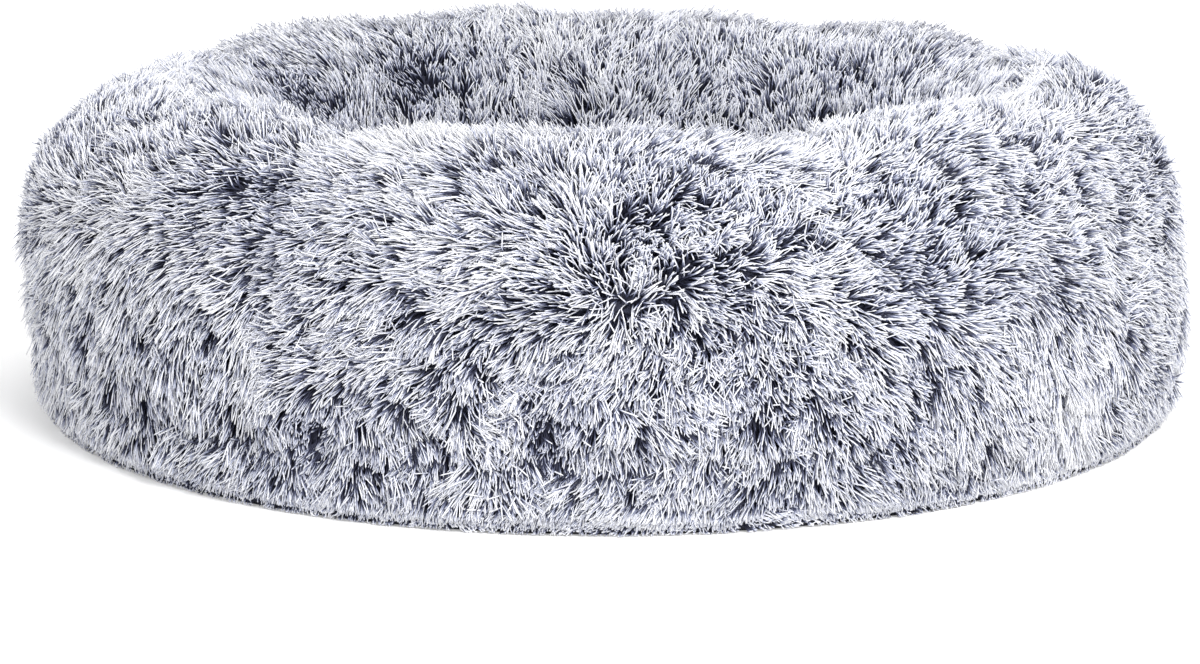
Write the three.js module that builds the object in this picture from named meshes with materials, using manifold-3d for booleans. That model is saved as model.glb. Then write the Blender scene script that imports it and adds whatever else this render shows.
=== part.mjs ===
// A round donut dog bed: a shaggy fur cover with a zipper in its lower rear edge, over a bolster
// pad and a cushion pad. Millimetres, +Z up, the origin on the floor at the middle of the base.
// Angles called "around" are degrees from the front (-Y), growing towards +X.

import * as THREE from 'three';
import { mergeVertices } from 'three/addons/utils/BufferGeometryUtils.js';
import Module from 'manifold-3d';

const wasm = await Module();
wasm.setup();

// Overall size, measured over the pile
const outerRadius = 381;
const bolsterWidth = 198;
const crestHeight = 218;
const widestHeight = 88;

// Cover
const coverThickness = 25;
const skirtClearance = 2;
const lumpDepth = 16;
const upperRoundness = 2.35;
const lowerRoundness = 6;
const padLowerRoundness = 4.6;

// Sleeping well
const cushionTuck = 7;
const cushionEdgeHeight = 68;
const cushionCrownRise = 24;
const padEdgeHeight = 44;
const padCrownRise = 26;
const crownPower = 2.4;

// Base
const baseInset = 20;
const basePanelThickness = 1.2;
const rimBandThickness = 2.4;
const rimBandTop = 14;

// Pads
const linerThickness = 1.2;
const padCornerRadius = 12;

// Zipper, along an arc under the pile at the lower rear edge
const zipperStartDegrees = 125;
const zipperEndDegrees = 240;
const grooveOverlapDegrees = 3;
const tapeThickness = 0.8;
const tapeWidth = 6.2;
const tapeEndLength = 8;
const coilThickness = 2.6;
const coilWidth = 1.8;
const coilParting = 1.6;
const stopLength = 2.4;
const stopThickness = 3;
const stopOverhang = 0.2;

// Slider and pull
const sliderLength = 11;
const sliderNoseWidth = 8.4;
const sliderTailWidth = 8;
const sliderCorner = 1.8;
const plateThickness = 1.4;
const runningGap = 0.4;
const flangeWidth = 1;
const postLength = 3;
const bailThickness = 1;
const bailWidth = 1.8;
const pullThickness = 1.2;
const pullEyeLength = 4;
const pullRailWidth = 1.2;
const pullLength = 25;
const pullWidth = 7;
const pullCorner = 2.4;
const pullHoleRadius = 1.5;
const pullHoleInset = 4.8;

// Care label
const labelDegrees = 246;
const labelWidth = 34;
const labelLength = 27;
const labelThickness = 0.8;

// Clearances
const seamGap = 0.3;
const overrun = 5;
const weld = 0.2;
const samePointDistance = 0.002;

// Turns in degrees, and the seams of the bolster's cover, from the front's left one on
const quarterTurn = 90;
const halfTurn = 180;
const fullTurn = 360;
const firstSeamDegrees = -33;
const panelPlaces = ['front', 'right', 'rear', 'left'];

// Facets
const roundSteps = 52;
const sectionSteps = 16;
const arcFacetDegrees = 3.2;
const smallArcSteps = 6;
const crownSteps = 4;
const cornerSteps = 3;

// Where the cover swells and dips: degrees around, degrees up the section from its widest point,
// share of the lump depth (below zero is a dip), and how far it spreads both ways in degrees
const lumpShares = [
  [-33, 55, -1, 7, 42],
  [-3, 62, -0.55, 6, 34],
  [21, 58, -0.8, 7, 38],
  [-62, 50, -0.6, 7, 26],
  [58, 45, -0.6, 8, 34],
  [88, 15, -0.35, 14, 34],
  [-84, 20, 0.45, 14, 18],
  [-94, 66, -0.55, 10, 20],
  [117, 60, -0.95, 8, 36],
  [152, 65, -1, 8, 38],
  [-178, 62, -0.6, 7, 36],
  [-150, 48, -0.6, 8, 36],
  [-114, 62, -0.9, 7, 36],
  [-18, 20, 0.35, 12, 34],
  [34, -35, 0.75, 13, 30],
  [52, -55, -0.5, 6, 18],
  [73, -30, 0.4, 9, 24],
  [-44, -50, -0.6, 9, 18],
  [-78, -40, -0.4, 14, 24],
  [-5, -30, -0.35, 7, 18],
  [-24, 150, -0.6, 8, 34],
  [16, 140, -0.5, 8, 34],
  [64, 150, -0.6, 8, 34],
  [100, 145, -0.5, 8, 34],
  [139, 150, -0.6, 8, 34],
  [176, 140, -0.5, 8, 34],
  [-140, 150, -0.6, 8, 34],
  [-104, 145, -0.5, 8, 34],
  [-66, 150, -0.5, 8, 34],
];

// Heights and radii that follow from the sizes above
const sectionHalfWidth = bolsterWidth / 2;
const crestRadius = outerRadius - sectionHalfWidth;
const cushionRadius = outerRadius - bolsterWidth + cushionTuck;
const baseRadius = outerRadius - baseInset;
const cutReach = outerRadius + lumpDepth + overrun;
const cutFloor = -crestHeight - overrun;
const upperHeight = crestHeight - widestHeight;
const padFloor = basePanelThickness + seamGap;
const padOuterInset = coverThickness + seamGap;
const padInnerInset = padOuterInset + linerThickness;
const fillInset = padInnerInset + seamGap;
const cushionPadRadius = outerRadius - bolsterWidth + padOuterInset - seamGap;
const zipperRadius = baseRadius - rimBandThickness / 2;
const lowerTapeFloor = rimBandTop + seamGap;
const lowerCoilFloor = lowerTapeFloor + tapeWidth + seamGap;
const zipperHeight = lowerCoilFloor + coilWidth + coilParting / 2;
const upperCoilFloor = zipperHeight + coilParting / 2;
const upperTapeFloor = upperCoilFloor + coilWidth + seamGap;
const hemHeight = upperTapeFloor + tapeWidth + seamGap;
const sliderHalfDegrees = degreesAlong(sliderLength / 2 + runningGap, zipperRadius);
const sliderAround = zipperEndDegrees - sliderHalfDegrees;

function radians(degrees) {
  return THREE.MathUtils.degToRad(degrees);
}

function degreesAlong(length, radius) {
  return THREE.MathUtils.radToDeg(length / radius);
}

function signedPower(value, power) {
  return Math.sign(value) * Math.abs(value) ** power;
}

// A point of the bolster's section, drawn in by an inset and standing on a floor height
function sectionPoint(angle, inset, floor) {
  const rising = Math.sin(angle) >= 0;
  const lowRoundness = inset > 0 ? padLowerRoundness : lowerRoundness;
  const power = 2 / (rising ? upperRoundness : lowRoundness);
  const height = rising ? upperHeight - inset : widestHeight - floor;
  return new THREE.Vector2(
    crestRadius + (sectionHalfWidth - inset) * signedPower(Math.cos(angle), power),
    widestHeight + height * signedPower(Math.sin(angle), power),
  );
}

function sectionLoop(inset, floor) {
  const points = [];
  for (let step = 0; step <= sectionSteps; step += 1) {
    const angle = -Math.PI / 2 + 2 * Math.PI * step / sectionSteps;
    points.push(sectionPoint(angle, inset, floor));
  }
  points[sectionSteps] = points[0].clone();
  return points;
}

function turned(profile) {
  const geometry = new THREE.LatheGeometry(profile, roundSteps);
  geometry.rotateX(Math.PI / 2);
  return geometry;
}

function closedLoop(points) {
  return [...points, points[0].clone()];
}

function sectionRing(inset, floor) {
  return turned(sectionLoop(inset, floor));
}

function disc(radius, low, high) {
  return turned([
    new THREE.Vector2(0, low),
    new THREE.Vector2(radius, low),
    new THREE.Vector2(radius, high),
    new THREE.Vector2(0, high),
  ]);
}

function ringSector(innerRadius, outerRadius, low, high, start, end) {
  const shape = new THREE.Shape();
  const from = radians(start - quarterTurn);
  const to = radians(end - quarterTurn);
  shape.absarc(0, 0, outerRadius, from, to, false);
  shape.absarc(0, 0, innerRadius, to, from, true);
  const steps = Math.ceil((end - start) / arcFacetDegrees / 2);
  const options = { depth: high - low, bevelEnabled: false, curveSegments: steps };
  const geometry = new THREE.ExtrudeGeometry(shape, options);
  geometry.translate(0, 0, low);
  return geometry;
}

// A box that stands at the front of the ring, given along the ring, outwards from the axis, and up
function frontBox(left, right, near, far, low, high) {
  const geometry = new THREE.BoxGeometry(right - left, far - near, high - low);
  geometry.translate((left + right) / 2, -(near + far) / 2, (low + high) / 2);
  return geometry;
}

function toSolid(geometry) {
  const bare = geometry.clone();
  bare.deleteAttribute('normal');
  bare.deleteAttribute('uv');
  const merged = mergeVertices(bare, samePointDistance);
  const mesh = new wasm.Mesh({
    numProp: 3,
    vertProperties: new Float32Array(merged.attributes.position.array),
    triVerts: new Uint32Array(merged.index.array),
  });
  return new wasm.Manifold(mesh);
}

function toGeometry(solid) {
  const mesh = solid.getMesh();
  const geometry = new THREE.BufferGeometry();
  geometry.setAttribute('position', new THREE.BufferAttribute(mesh.vertProperties, 3));
  geometry.setIndex(new THREE.BufferAttribute(mesh.triVerts, 1));
  geometry.computeVertexNormals();
  return geometry;
}

// Angle between two directions round a circle, in degrees, with its sign
function turnBetween(from, to) {
  return THREE.MathUtils.euclideanModulo(to - from + halfTurn, fullTurn) - halfTurn;
}

function lumpAt(around, up) {
  let share = 0;
  for (const [aroundCentre, upCentre, depthShare, aroundSpread, upSpread] of lumpShares) {
    const across = turnBetween(aroundCentre, around) / aroundSpread;
    const along = turnBetween(upCentre, up) / upSpread;
    share += depthShare * Math.exp(-(across ** 2 + along ** 2) / 2);
  }
  return share * lumpDepth;
}

// Moves each corner of the ring in or out from the middle of the bolster's section
function lumpedRing() {
  const geometry = sectionRing(0, 0);
  const positions = geometry.attributes.position;
  for (let index = 0; index < positions.count; index += 1) {
    const x = positions.getX(index);
    const y = positions.getY(index);
    const spoke = Math.hypot(x, y);
    const out = spoke - crestRadius;
    const rise = positions.getZ(index) - widestHeight;
    const around = THREE.MathUtils.radToDeg(Math.atan2(x, -y));
    const up = THREE.MathUtils.radToDeg(Math.atan2(rise / upperHeight, out / sectionHalfWidth));
    const reach = Math.hypot(out, rise);
    const scale = 1 + lumpAt(around, up) / reach;
    const newSpoke = crestRadius + out * scale;
    const newHeight = widestHeight + rise * scale;
    positions.setXYZ(index, x * newSpoke / spoke, y * newSpoke / spoke, newHeight);
  }
  return geometry;
}

// The whole bolster cover as one hollow wrap, open underneath where the pads go in
function coverSolid() {
  const seat = disc(baseRadius + seamGap, cutFloor, rimBandTop + seamGap);
  const cushionSeat = turned([
    new THREE.Vector2(0, cutFloor),
    new THREE.Vector2(cushionRadius + seamGap, cutFloor),
    new THREE.Vector2(cushionRadius + seamGap, cushionEdgeHeight + seamGap),
    ...cushionTopPoints(seamGap).reverse(),
  ]);
  const padSeat = disc(crestRadius, cutFloor, padTop(cushionRadius) + seamGap);
  const floor = disc(cutReach, cutFloor, skirtClearance);
  const groove = ringSector(
    crestRadius,
    cutReach,
    cutFloor,
    hemHeight,
    zipperStartDegrees - grooveOverlapDegrees,
    labelDegrees + degreesAlong(labelWidth / 2, baseRadius) + grooveOverlapDegrees,
  );
  let solid = toSolid(lumpedRing());
  for (const cut of [sectionRing(coverThickness, 0), seat, cushionSeat, padSeat, floor, groove]) {
    solid = solid.subtract(toSolid(cut));
  }
  return solid;
}

// One quarter of the cover, from a seam over the bolster on to the next
function coverPanel(cover, seamAround) {
  const quarter = new THREE.BoxGeometry(cutReach, cutReach, 2 * cutReach);
  quarter.translate((cutReach + seamGap) / 2, (cutReach + seamGap) / 2, 0);
  quarter.rotateZ(radians(seamAround - quarterTurn));
  return toGeometry(cover.intersect(toSolid(quarter)));
}

function crownHeight(radius, fullRadius, edge, rise) {
  return edge + rise * (1 - (radius / fullRadius) ** crownPower);
}

function padTop(radius) {
  return crownHeight(radius, cushionPadRadius, padEdgeHeight, padCrownRise);
}

// Points of a crowned top from the middle out, with corners over one another from layer to layer
function crownPoints(radii, fullRadius, edge, rise, lift) {
  return radii.map((radius) => (
    new THREE.Vector2(radius, crownHeight(radius, fullRadius, edge, rise) + lift)
  ));
}

function crownRadii() {
  const radii = [];
  for (let step = 0; step <= crownSteps; step += 1) {
    radii.push(cushionRadius * step / crownSteps);
  }
  return radii;
}

function cushionTopPoints(lift) {
  return crownPoints(crownRadii(), cushionRadius, cushionEdgeHeight, cushionCrownRise, lift);
}

function cushionCover() {
  const top = cushionTopPoints(0);
  const under = crownPoints(crownRadii(), cushionPadRadius, padEdgeHeight, padCrownRise, seamGap);
  return turned([...under, ...top.reverse()]);
}

// Outline of the cushion pad's rounded lower edge, from the middle out and up to its seam
function padLowerPoints(inset, seamHeight) {
  const radius = cushionPadRadius - inset;
  const floor = padFloor + inset;
  const corner = padCornerRadius - inset;
  const points = [new THREE.Vector2(0, floor)];
  for (let step = 0; step <= cornerSteps; step += 1) {
    const angle = -Math.PI / 2 + Math.PI / 2 * step / cornerSteps;
    points.push(new THREE.Vector2(
      radius - corner + corner * Math.cos(angle),
      floor + corner + corner * Math.sin(angle),
    ));
  }
  points.push(new THREE.Vector2(radius, seamHeight));
  return points;
}

function padUpperPoints(inset) {
  const radii = [...crownRadii(), cushionPadRadius - inset];
  return crownPoints(radii, cushionPadRadius, padEdgeHeight, padCrownRise, -inset);
}

const padSeamHeight = (padFloor + padCornerRadius + padEdgeHeight) / 2;

function cushionLinerTop() {
  const outside = padUpperPoints(0);
  const inside = padUpperPoints(linerThickness);
  const seam = padSeamHeight + seamGap / 2;
  const rim = [
    new THREE.Vector2(cushionPadRadius - linerThickness, seam),
    new THREE.Vector2(cushionPadRadius, seam),
  ];
  return turned([...inside, ...rim, ...outside.reverse()]);
}

function cushionLinerBottom() {
  const seam = padSeamHeight - seamGap / 2;
  const outside = padLowerPoints(0, seam);
  const inside = padLowerPoints(linerThickness, seam);
  return turned([...outside, ...inside.reverse()]);
}

function cushionFill() {
  const inset = linerThickness + seamGap;
  const lower = padLowerPoints(inset, padSeamHeight);
  const upper = padUpperPoints(inset);
  return turned([...lower, ...upper.reverse()]);
}

// One half of the bolster's liner, sewn to the other half round its inner and outer side
function bolsterLinerHalf(upper) {
  const turn = upper ? 1 : -1;
  const seam = widestHeight + turn * seamGap / 2;
  const half = sectionSteps / 2;
  const layer = (inset, floor) => {
    const points = [];
    for (let step = 0; step <= half; step += 1) {
      const angle = turn * (Math.PI * step / half);
      const point = sectionPoint(angle, inset, floor);
      if (step === 0 || step === half) {
        point.y = seam;
      }
      points.push(point);
    }
    return points;
  };
  const outside = layer(padOuterInset, padFloor);
  const inside = layer(padInnerInset, padFloor + linerThickness);
  const loop = [...outside, ...inside.reverse()];
  return turned(closedLoop(upper ? loop : loop.reverse()));
}

function bolsterFill() {
  return sectionRing(fillInset, padFloor + linerThickness + seamGap);
}

function basePanel() {
  return disc(baseRadius, 0, basePanelThickness);
}

function rimBand() {
  const low = basePanelThickness + seamGap;
  return turned(closedLoop([
    new THREE.Vector2(baseRadius - rimBandThickness, low),
    new THREE.Vector2(baseRadius, low),
    new THREE.Vector2(baseRadius, rimBandTop),
    new THREE.Vector2(baseRadius - rimBandThickness, rimBandTop),
  ]));
}

function zipperTape(floor) {
  const ends = degreesAlong(tapeEndLength, zipperRadius);
  return ringSector(
    zipperRadius - tapeThickness / 2,
    zipperRadius + tapeThickness / 2,
    floor,
    floor + tapeWidth,
    zipperStartDegrees - ends,
    zipperEndDegrees + ends,
  );
}

function zipperCoil(floor) {
  return ringSector(
    zipperRadius - coilThickness / 2,
    zipperRadius + coilThickness / 2,
    floor,
    floor + coilWidth,
    zipperStartDegrees,
    zipperEndDegrees,
  );
}

// A stop lies past the coil's end, at the front of the ring until its group turns it into place
function zipperStop(low, high) {
  const half = stopLength / 2;
  const near = zipperRadius - stopThickness / 2;
  return frontBox(-half, half, near, near + stopThickness, low - stopOverhang, high + stopOverhang);
}

function platePoints() {
  const tail = -sliderLength / 2;
  const nose = sliderLength / 2;
  const narrow = sliderTailWidth / 2;
  const wide = sliderNoseWidth / 2;
  return [
    new THREE.Vector2(tail, -narrow + sliderCorner),
    new THREE.Vector2(tail + sliderCorner, -narrow),
    new THREE.Vector2(nose - sliderCorner, -wide),
    new THREE.Vector2(nose, -wide + sliderCorner),
    new THREE.Vector2(nose, wide - sliderCorner),
    new THREE.Vector2(nose - sliderCorner, wide),
    new THREE.Vector2(tail + sliderCorner, narrow),
    new THREE.Vector2(tail, narrow - sliderCorner),
  ];
}

// Lays a flat shape on the ring's front, with its thickness running outwards from a radius
function frontPlate(shape, near, thickness) {
  const options = { depth: thickness, bevelEnabled: false, curveSegments: smallArcSteps };
  const geometry = new THREE.ExtrudeGeometry(shape, options);
  geometry.rotateX(Math.PI / 2);
  geometry.translate(0, -near, zipperHeight);
  return geometry;
}

const outerPlateNear = zipperRadius + coilThickness / 2 + runningGap;
const outerPlateFar = outerPlateNear + plateThickness;
const innerPlateFar = zipperRadius - coilThickness / 2 - runningGap;
const pullPivotRadius = outerPlateFar + runningGap + pullThickness / 2;
const pullSweep = Math.SQRT2 * pullThickness / 2 + runningGap;

// The arch that holds the pull, standing on the outer plate
function bailGeometry() {
  const top = pullPivotRadius + pullSweep;
  const leg = pullSweep;
  const left = frontBox(
    -leg - bailThickness, -leg, outerPlateFar - weld, top + weld,
    zipperHeight - bailWidth / 2, zipperHeight + bailWidth / 2,
  );
  const right = left.clone();
  right.translate(2 * leg + bailThickness, 0, 0);
  const bridge = frontBox(
    -leg - bailThickness, leg + bailThickness, top, top + bailThickness,
    zipperHeight - bailWidth / 2, zipperHeight + bailWidth / 2,
  );
  return [left, right, bridge];
}

// The lips along the plates' edges that hold the tapes between them
function flangeBoxes() {
  const reach = sliderLength / 2 - sliderCorner;
  const lip = coilThickness / 2 - tapeThickness / 2;
  const outside = sliderTailWidth / 2;
  const boxes = [];
  for (const side of [-1, 1]) {
    const edges = [zipperHeight + side * outside, zipperHeight + side * (outside - flangeWidth)];
    const low = Math.min(...edges);
    const high = Math.max(...edges);
    boxes.push(frontBox(-reach, reach, outerPlateNear - lip, outerPlateNear + weld, low, high));
    boxes.push(frontBox(-reach, reach, innerPlateFar - weld, innerPlateFar + lip, low, high));
  }
  return boxes;
}

function zipperSlider() {
  const outline = new THREE.Shape(platePoints());
  const outerPlate = frontPlate(outline, outerPlateNear, plateThickness);
  const innerPlate = frontPlate(outline, innerPlateFar - plateThickness, plateThickness);
  const postHalf = coilParting / 2 - runningGap;
  const nose = sliderLength / 2;
  const post = frontBox(
    nose - postLength, nose - weld, innerPlateFar - weld, outerPlateNear + weld,
    zipperHeight - postHalf, zipperHeight + postHalf,
  );
  let solid = toSolid(outerPlate);
  for (const piece of [innerPlate, post, ...flangeBoxes(), ...bailGeometry()]) {
    solid = solid.add(toSolid(piece));
  }
  return toGeometry(solid);
}

// The pull lies back along the closed coils, with its end bar under the bail
function zipperPull() {
  const barHalf = pullThickness / 2;
  const eyeHalf = bailWidth / 2 + runningGap;
  const neckHalf = eyeHalf + pullRailWidth;
  const half = pullWidth / 2;
  const eyeEnd = -barHalf - pullEyeLength;
  const end = barHalf - pullLength;
  const shape = new THREE.Shape([
    new THREE.Vector2(barHalf, -neckHalf),
    new THREE.Vector2(barHalf, neckHalf),
    new THREE.Vector2(eyeEnd, neckHalf),
    new THREE.Vector2(eyeEnd - pullCorner, half),
    new THREE.Vector2(end + pullCorner, half),
    new THREE.Vector2(end, half - pullCorner),
    new THREE.Vector2(end, -half + pullCorner),
    new THREE.Vector2(end + pullCorner, -half),
    new THREE.Vector2(eyeEnd - pullCorner, -half),
    new THREE.Vector2(eyeEnd, -neckHalf),
  ]);
  shape.holes.push(new THREE.Path([
    new THREE.Vector2(-barHalf, -eyeHalf),
    new THREE.Vector2(eyeEnd, -eyeHalf),
    new THREE.Vector2(eyeEnd, eyeHalf),
    new THREE.Vector2(-barHalf, eyeHalf),
  ]));
  const cordHole = new THREE.Path();
  cordHole.absarc(end + pullHoleInset, 0, pullHoleRadius, 0, 2 * Math.PI, true);
  shape.holes.push(cordHole);
  return frontPlate(shape, pullPivotRadius - pullThickness / 2, pullThickness);
}

function careLabel() {
  const half = degreesAlong(labelWidth / 2, baseRadius);
  const near = baseRadius + seamGap;
  return ringSector(
    near,
    near + labelThickness,
    hemHeight - seamGap - labelLength,
    hemHeight - seamGap,
    labelDegrees - half,
    labelDegrees + half,
  );
}

const materials = {
  fur: { color: 0xb9bccb, roughness: 0.95, metalness: 0 },
  baseFabric: { color: 0x2b2d36, roughness: 0.85, metalness: 0 },
  band: { color: 0x32343f, roughness: 0.9, metalness: 0 },
  tape: { color: 0x3a3d49, roughness: 0.9, metalness: 0 },
  coil: { color: 0x2e3038, roughness: 0.45, metalness: 0 },
  metal: { color: 0x9a9ca3, roughness: 0.3, metalness: 1 },
  label: { color: 0xf1efea, roughness: 0.8, metalness: 0 },
  liner: { color: 0xe6e5e1, roughness: 0.9, metalness: 0 },
  fill: { color: 0xf6f5f2, roughness: 1, metalness: 0 },
};

function piece(parent, name, geometry, look) {
  const mesh = new THREE.Mesh(geometry, new THREE.MeshStandardMaterial(materials[look]));
  mesh.name = name;
  parent.add(mesh);
  return mesh;
}

function turnedGroup(parent, around) {
  const group = new THREE.Group();
  group.rotation.z = radians(around);
  parent.add(group);
  return group;
}

function addCover(bed) {
  const cover = coverSolid();
  for (const [index, place] of panelPlaces.entries()) {
    const seamAround = firstSeamDegrees + index * fullTurn / panelPlaces.length;
    piece(bed, `bolster_fur_panel_${place}`, coverPanel(cover, seamAround), 'fur');
  }
  piece(bed, 'cushion_fur_panel', cushionCover(), 'fur');
  piece(bed, 'base_panel', basePanel(), 'baseFabric');
  piece(bed, 'base_rim_band', rimBand(), 'band');
  piece(bed, 'care_label', careLabel(), 'label');
}

function addPads(bed) {
  piece(bed, 'bolster_liner_upper', bolsterLinerHalf(true), 'liner');
  piece(bed, 'bolster_liner_lower', bolsterLinerHalf(false), 'liner');
  piece(bed, 'bolster_fill', bolsterFill(), 'fill');
  piece(bed, 'cushion_liner_top', cushionLinerTop(), 'liner');
  piece(bed, 'cushion_liner_bottom', cushionLinerBottom(), 'liner');
  piece(bed, 'cushion_fill', cushionFill(), 'fill');
}

function addZipper(bed) {
  const zipper = new THREE.Group();
  bed.add(zipper);
  piece(zipper, 'zipper_tape_lower', zipperTape(lowerTapeFloor), 'tape');
  piece(zipper, 'zipper_tape_upper', zipperTape(upperTapeFloor), 'tape');
  piece(zipper, 'zipper_coil_lower', zipperCoil(lowerCoilFloor), 'coil');
  piece(zipper, 'zipper_coil_upper', zipperCoil(upperCoilFloor), 'coil');
  const pastEnd = degreesAlong(stopLength / 2 + seamGap, zipperRadius);
  const closedEnd = turnedGroup(zipper, zipperEndDegrees + pastEnd);
  const openEnd = turnedGroup(zipper, zipperStartDegrees - pastEnd);
  const lowerTop = lowerCoilFloor + coilWidth;
  const upperTop = upperCoilFloor + coilWidth;
  piece(closedEnd, 'zipper_top_stop_lower', zipperStop(lowerCoilFloor, lowerTop), 'metal');
  piece(closedEnd, 'zipper_top_stop_upper', zipperStop(upperCoilFloor, upperTop), 'metal');
  piece(openEnd, 'zipper_bottom_stop', zipperStop(lowerCoilFloor, upperTop), 'metal');
  const slider = turnedGroup(zipper, sliderAround);
  piece(slider, 'zipper_slider', zipperSlider(), 'metal');
  piece(slider, 'zipper_pull', zipperPull(), 'metal');
}

const dogBed = new THREE.Group();
addCover(dogBed);
addPads(dogBed);
addZipper(dogBed);

export default dogBed;
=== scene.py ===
"""A round donut dog bed in long shaggy fur. Metres, +Z up, the front towards -Y.
Angles called around are degrees from the front, growing towards +X. Angles called up run round
the bolster's section: 0 at its widest outside, 90 on the crest, 180 on the well's wall."""

import math

import bpy
import numpy as np
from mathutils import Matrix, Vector
from mathutils.bvhtree import BVHTree


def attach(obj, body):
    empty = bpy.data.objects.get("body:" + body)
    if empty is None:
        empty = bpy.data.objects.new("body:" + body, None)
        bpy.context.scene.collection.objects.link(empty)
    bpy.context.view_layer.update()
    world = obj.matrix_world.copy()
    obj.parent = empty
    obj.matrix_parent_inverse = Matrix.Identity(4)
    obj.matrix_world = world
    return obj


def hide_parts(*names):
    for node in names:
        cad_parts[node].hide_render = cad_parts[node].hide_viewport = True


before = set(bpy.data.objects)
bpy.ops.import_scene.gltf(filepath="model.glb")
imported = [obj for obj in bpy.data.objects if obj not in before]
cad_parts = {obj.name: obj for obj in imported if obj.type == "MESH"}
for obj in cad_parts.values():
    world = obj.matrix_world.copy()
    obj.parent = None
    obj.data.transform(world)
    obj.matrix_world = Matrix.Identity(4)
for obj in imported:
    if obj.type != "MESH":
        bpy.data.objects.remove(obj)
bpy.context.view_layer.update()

TINY = 1e-6
PANEL_PLACES = ("front", "right", "rear", "left")
PANEL_NODES = [f"bolster_fur_panel_{place}" for place in PANEL_PLACES]

# Bolster section: the middle it is measured from, and its reach sideways and upwards
RING_RADIUS = 0.282
RING_HEIGHT = 0.088
RING_HALF_WIDTH = 0.099
RING_RISE = 0.130
RING_SECTION = (RING_RADIUS, RING_HEIGHT, RING_HALF_WIDTH, RING_RISE)
RAY_START_SHARE = 1.9
AROUND_STEPS = 240
UP_STEPS = 120
FACET_BLUR_AROUND = 2.2
FACET_BLUR_UP = 2.6

# Length of one degree of up along the section
MIDDLE_ARC = 0.0024

# Cover
FIRST_SEAM = -33
PANEL_TURN = 90
PANEL_COLUMNS = 64
WALL_ROWS = 9
CREST_ROWS = 52
PANEL_ROWS = WALL_ROWS + CREST_ROWS
WALL_TOP = 0.050
SEAM_GAP = 0.0003
PILE_DEPTH = 0.0112
BACKING_THICKNESS = 0.0016
SKIRT_HEIGHT = 0.0035
SKIRT_RADIUS = 0.3632
WELL_SEAM_UP = 189
GROOVE_START = 122
GROOVE_END = 251.7
GROOVE_TOP = 0.033
GROOVE_EASE = 2.5
GROOVE_CLEARANCE = 0.002
HEM_HEIGHT = 0.005
SEAT_HEIGHT = 0.074
SEWN_BELOW = 0.02
SEWN_UP_REACH = 4
WALL_UPS = (-30, 10)
SKIRT_SHARE = 0.7

# Cushion
CUSHION_RADIUS = 0.186
CUSHION_RINGS = 26
CUSHION_SPOKES = 96
ABOVE_CUSHION = 0.3
CUSHION_RIM_START = 0.150
CUSHION_RIM_WIDTH = 0.028

# How the cover swells over its pad
SWELL_PRESSURE = 3.5
SWELL_FRAMES = 20
SWELL_STEPS = 4
SWELL_CAP = 0.006
SWELL_START_INSET = 0.003

# Pads: columns around, rows round the section, and how their fibre lies lumpy
PAD_COLUMNS = 120
PAD_ROWS = 48
PAD_GAP = 0.0004
PAD_CLEARANCE = 0.004
LINER_THICKNESS = 0.0012
FILL_GAP = 0.0004
CUSHION_SECTION = (0.0, 0.0287, 0.208, 0.041)
PAD_FLOOR = 0.0015
PAD_END_UP = 89.4
RESTING_REACH = 0.001
SEAM_PINCH = 0.0022
SEAM_PINCH_REACH = 0.010
PUCKERS = 90
LUMP_SIZE = 0.045
LUMP_DEPTH = 0.0022

# Base
BASE_RADIUS = 0.361
BASE_THICKNESS = 0.0012
BASE_EDGE_GAP = 0.0004
BASE_COLUMNS = 144
BASE_RINGS = 14
DOT_PITCH = 0.014
DOT_RADIUS = 0.0027
DOT_HEIGHT = 0.0005
DOT_SINK = 0.0001
DOT_TOP_SHARE = 0.7
DOT_EDGE_SHARE = 2.5
DOT_SIDES = 8
BAND_LOW = 0.0015
BAND_HIGH = 0.014
BAND_INNER = 0.3586
BAND_CORNER = 0.0007
BAND_HEM = 0.0028
BAND_COLUMNS = 240
STITCH_PITCH = 0.0042
STITCH_LENGTH = 0.0028
STITCH_RADIUS = 0.00025
STITCH_PLACES = (-1, -0.5, 0.5, 1)
STITCH_LIFTS = (-0.9, 0.5, 0.5, -0.9)
STITCH_SIDES = 4
PLUMPNESS = 1.2

# Zipper
ZIPPER_RADIUS = 0.3598
ZIPPER_START = 125
ZIPPER_END = 240
TAPE_END = 0.008
GUSSET_GAP = 0.0004
TAPE_THICKNESS = 0.0008
TAPE_CORNER = 0.0003
TAPE_COLUMNS = 120
GUSSET_COLUMNS = 24
TAPES = {"lower": (0.0143, 0.0205), "upper": (0.0263, 0.0325)}
STITCH_HEIGHTS = {"lower": 0.0162, "upper": 0.0306}
COILS = {"lower": (0.0208, 0.0226), "upper": (0.0242, 0.0260)}
COIL_DEPTH = 0.0026
COIL_PITCH = 0.0019
COIL_WIRE = 0.00042
COIL_TURN_STEPS = 9
COIL_WIRE_SIDES = 5

# Care label
LABEL_AROUND = 246
LABEL_WIDTH = 0.034
LABEL_LOW = 0.0055
LABEL_HIGH = 0.0325
LABEL_RADIUS = 0.3617
LABEL_THICKNESS = 0.0005
LABEL_CURL = 0.0012
LABEL_WAVES = 40
LABEL_COLUMNS = 18
LABEL_ROWS = 14

# Camera
CAMERA_PLACE = (0, -2.30, 0.558)
CAMERA_TARGET = (0, 0, 0.035)
LENS = 107.7
CAMERA_SHIFT = -0.0067

# Lamps: name, place, size, power
LAMPS = (
    ("key", (1.0, -2.0, 1.7), 1.2, 66),
    ("fill", (-1.5, -2.1, 0.9), 1.6, 17),
    ("top", (0, 0.6, 2.4), 1.6, 22),
)
LAMP_TARGET = (0, 0, 0.1)
SKY_SHARE = 0.5

# Floor: its reach each way, and its own light for the camera alone, from the bed to where it is white
FLOOR_REACH = 8
FLOOR_GLOW = 0.28
FLOOR_FADE_START = 0.7
FLOOR_FADE_END = 2.4

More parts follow.
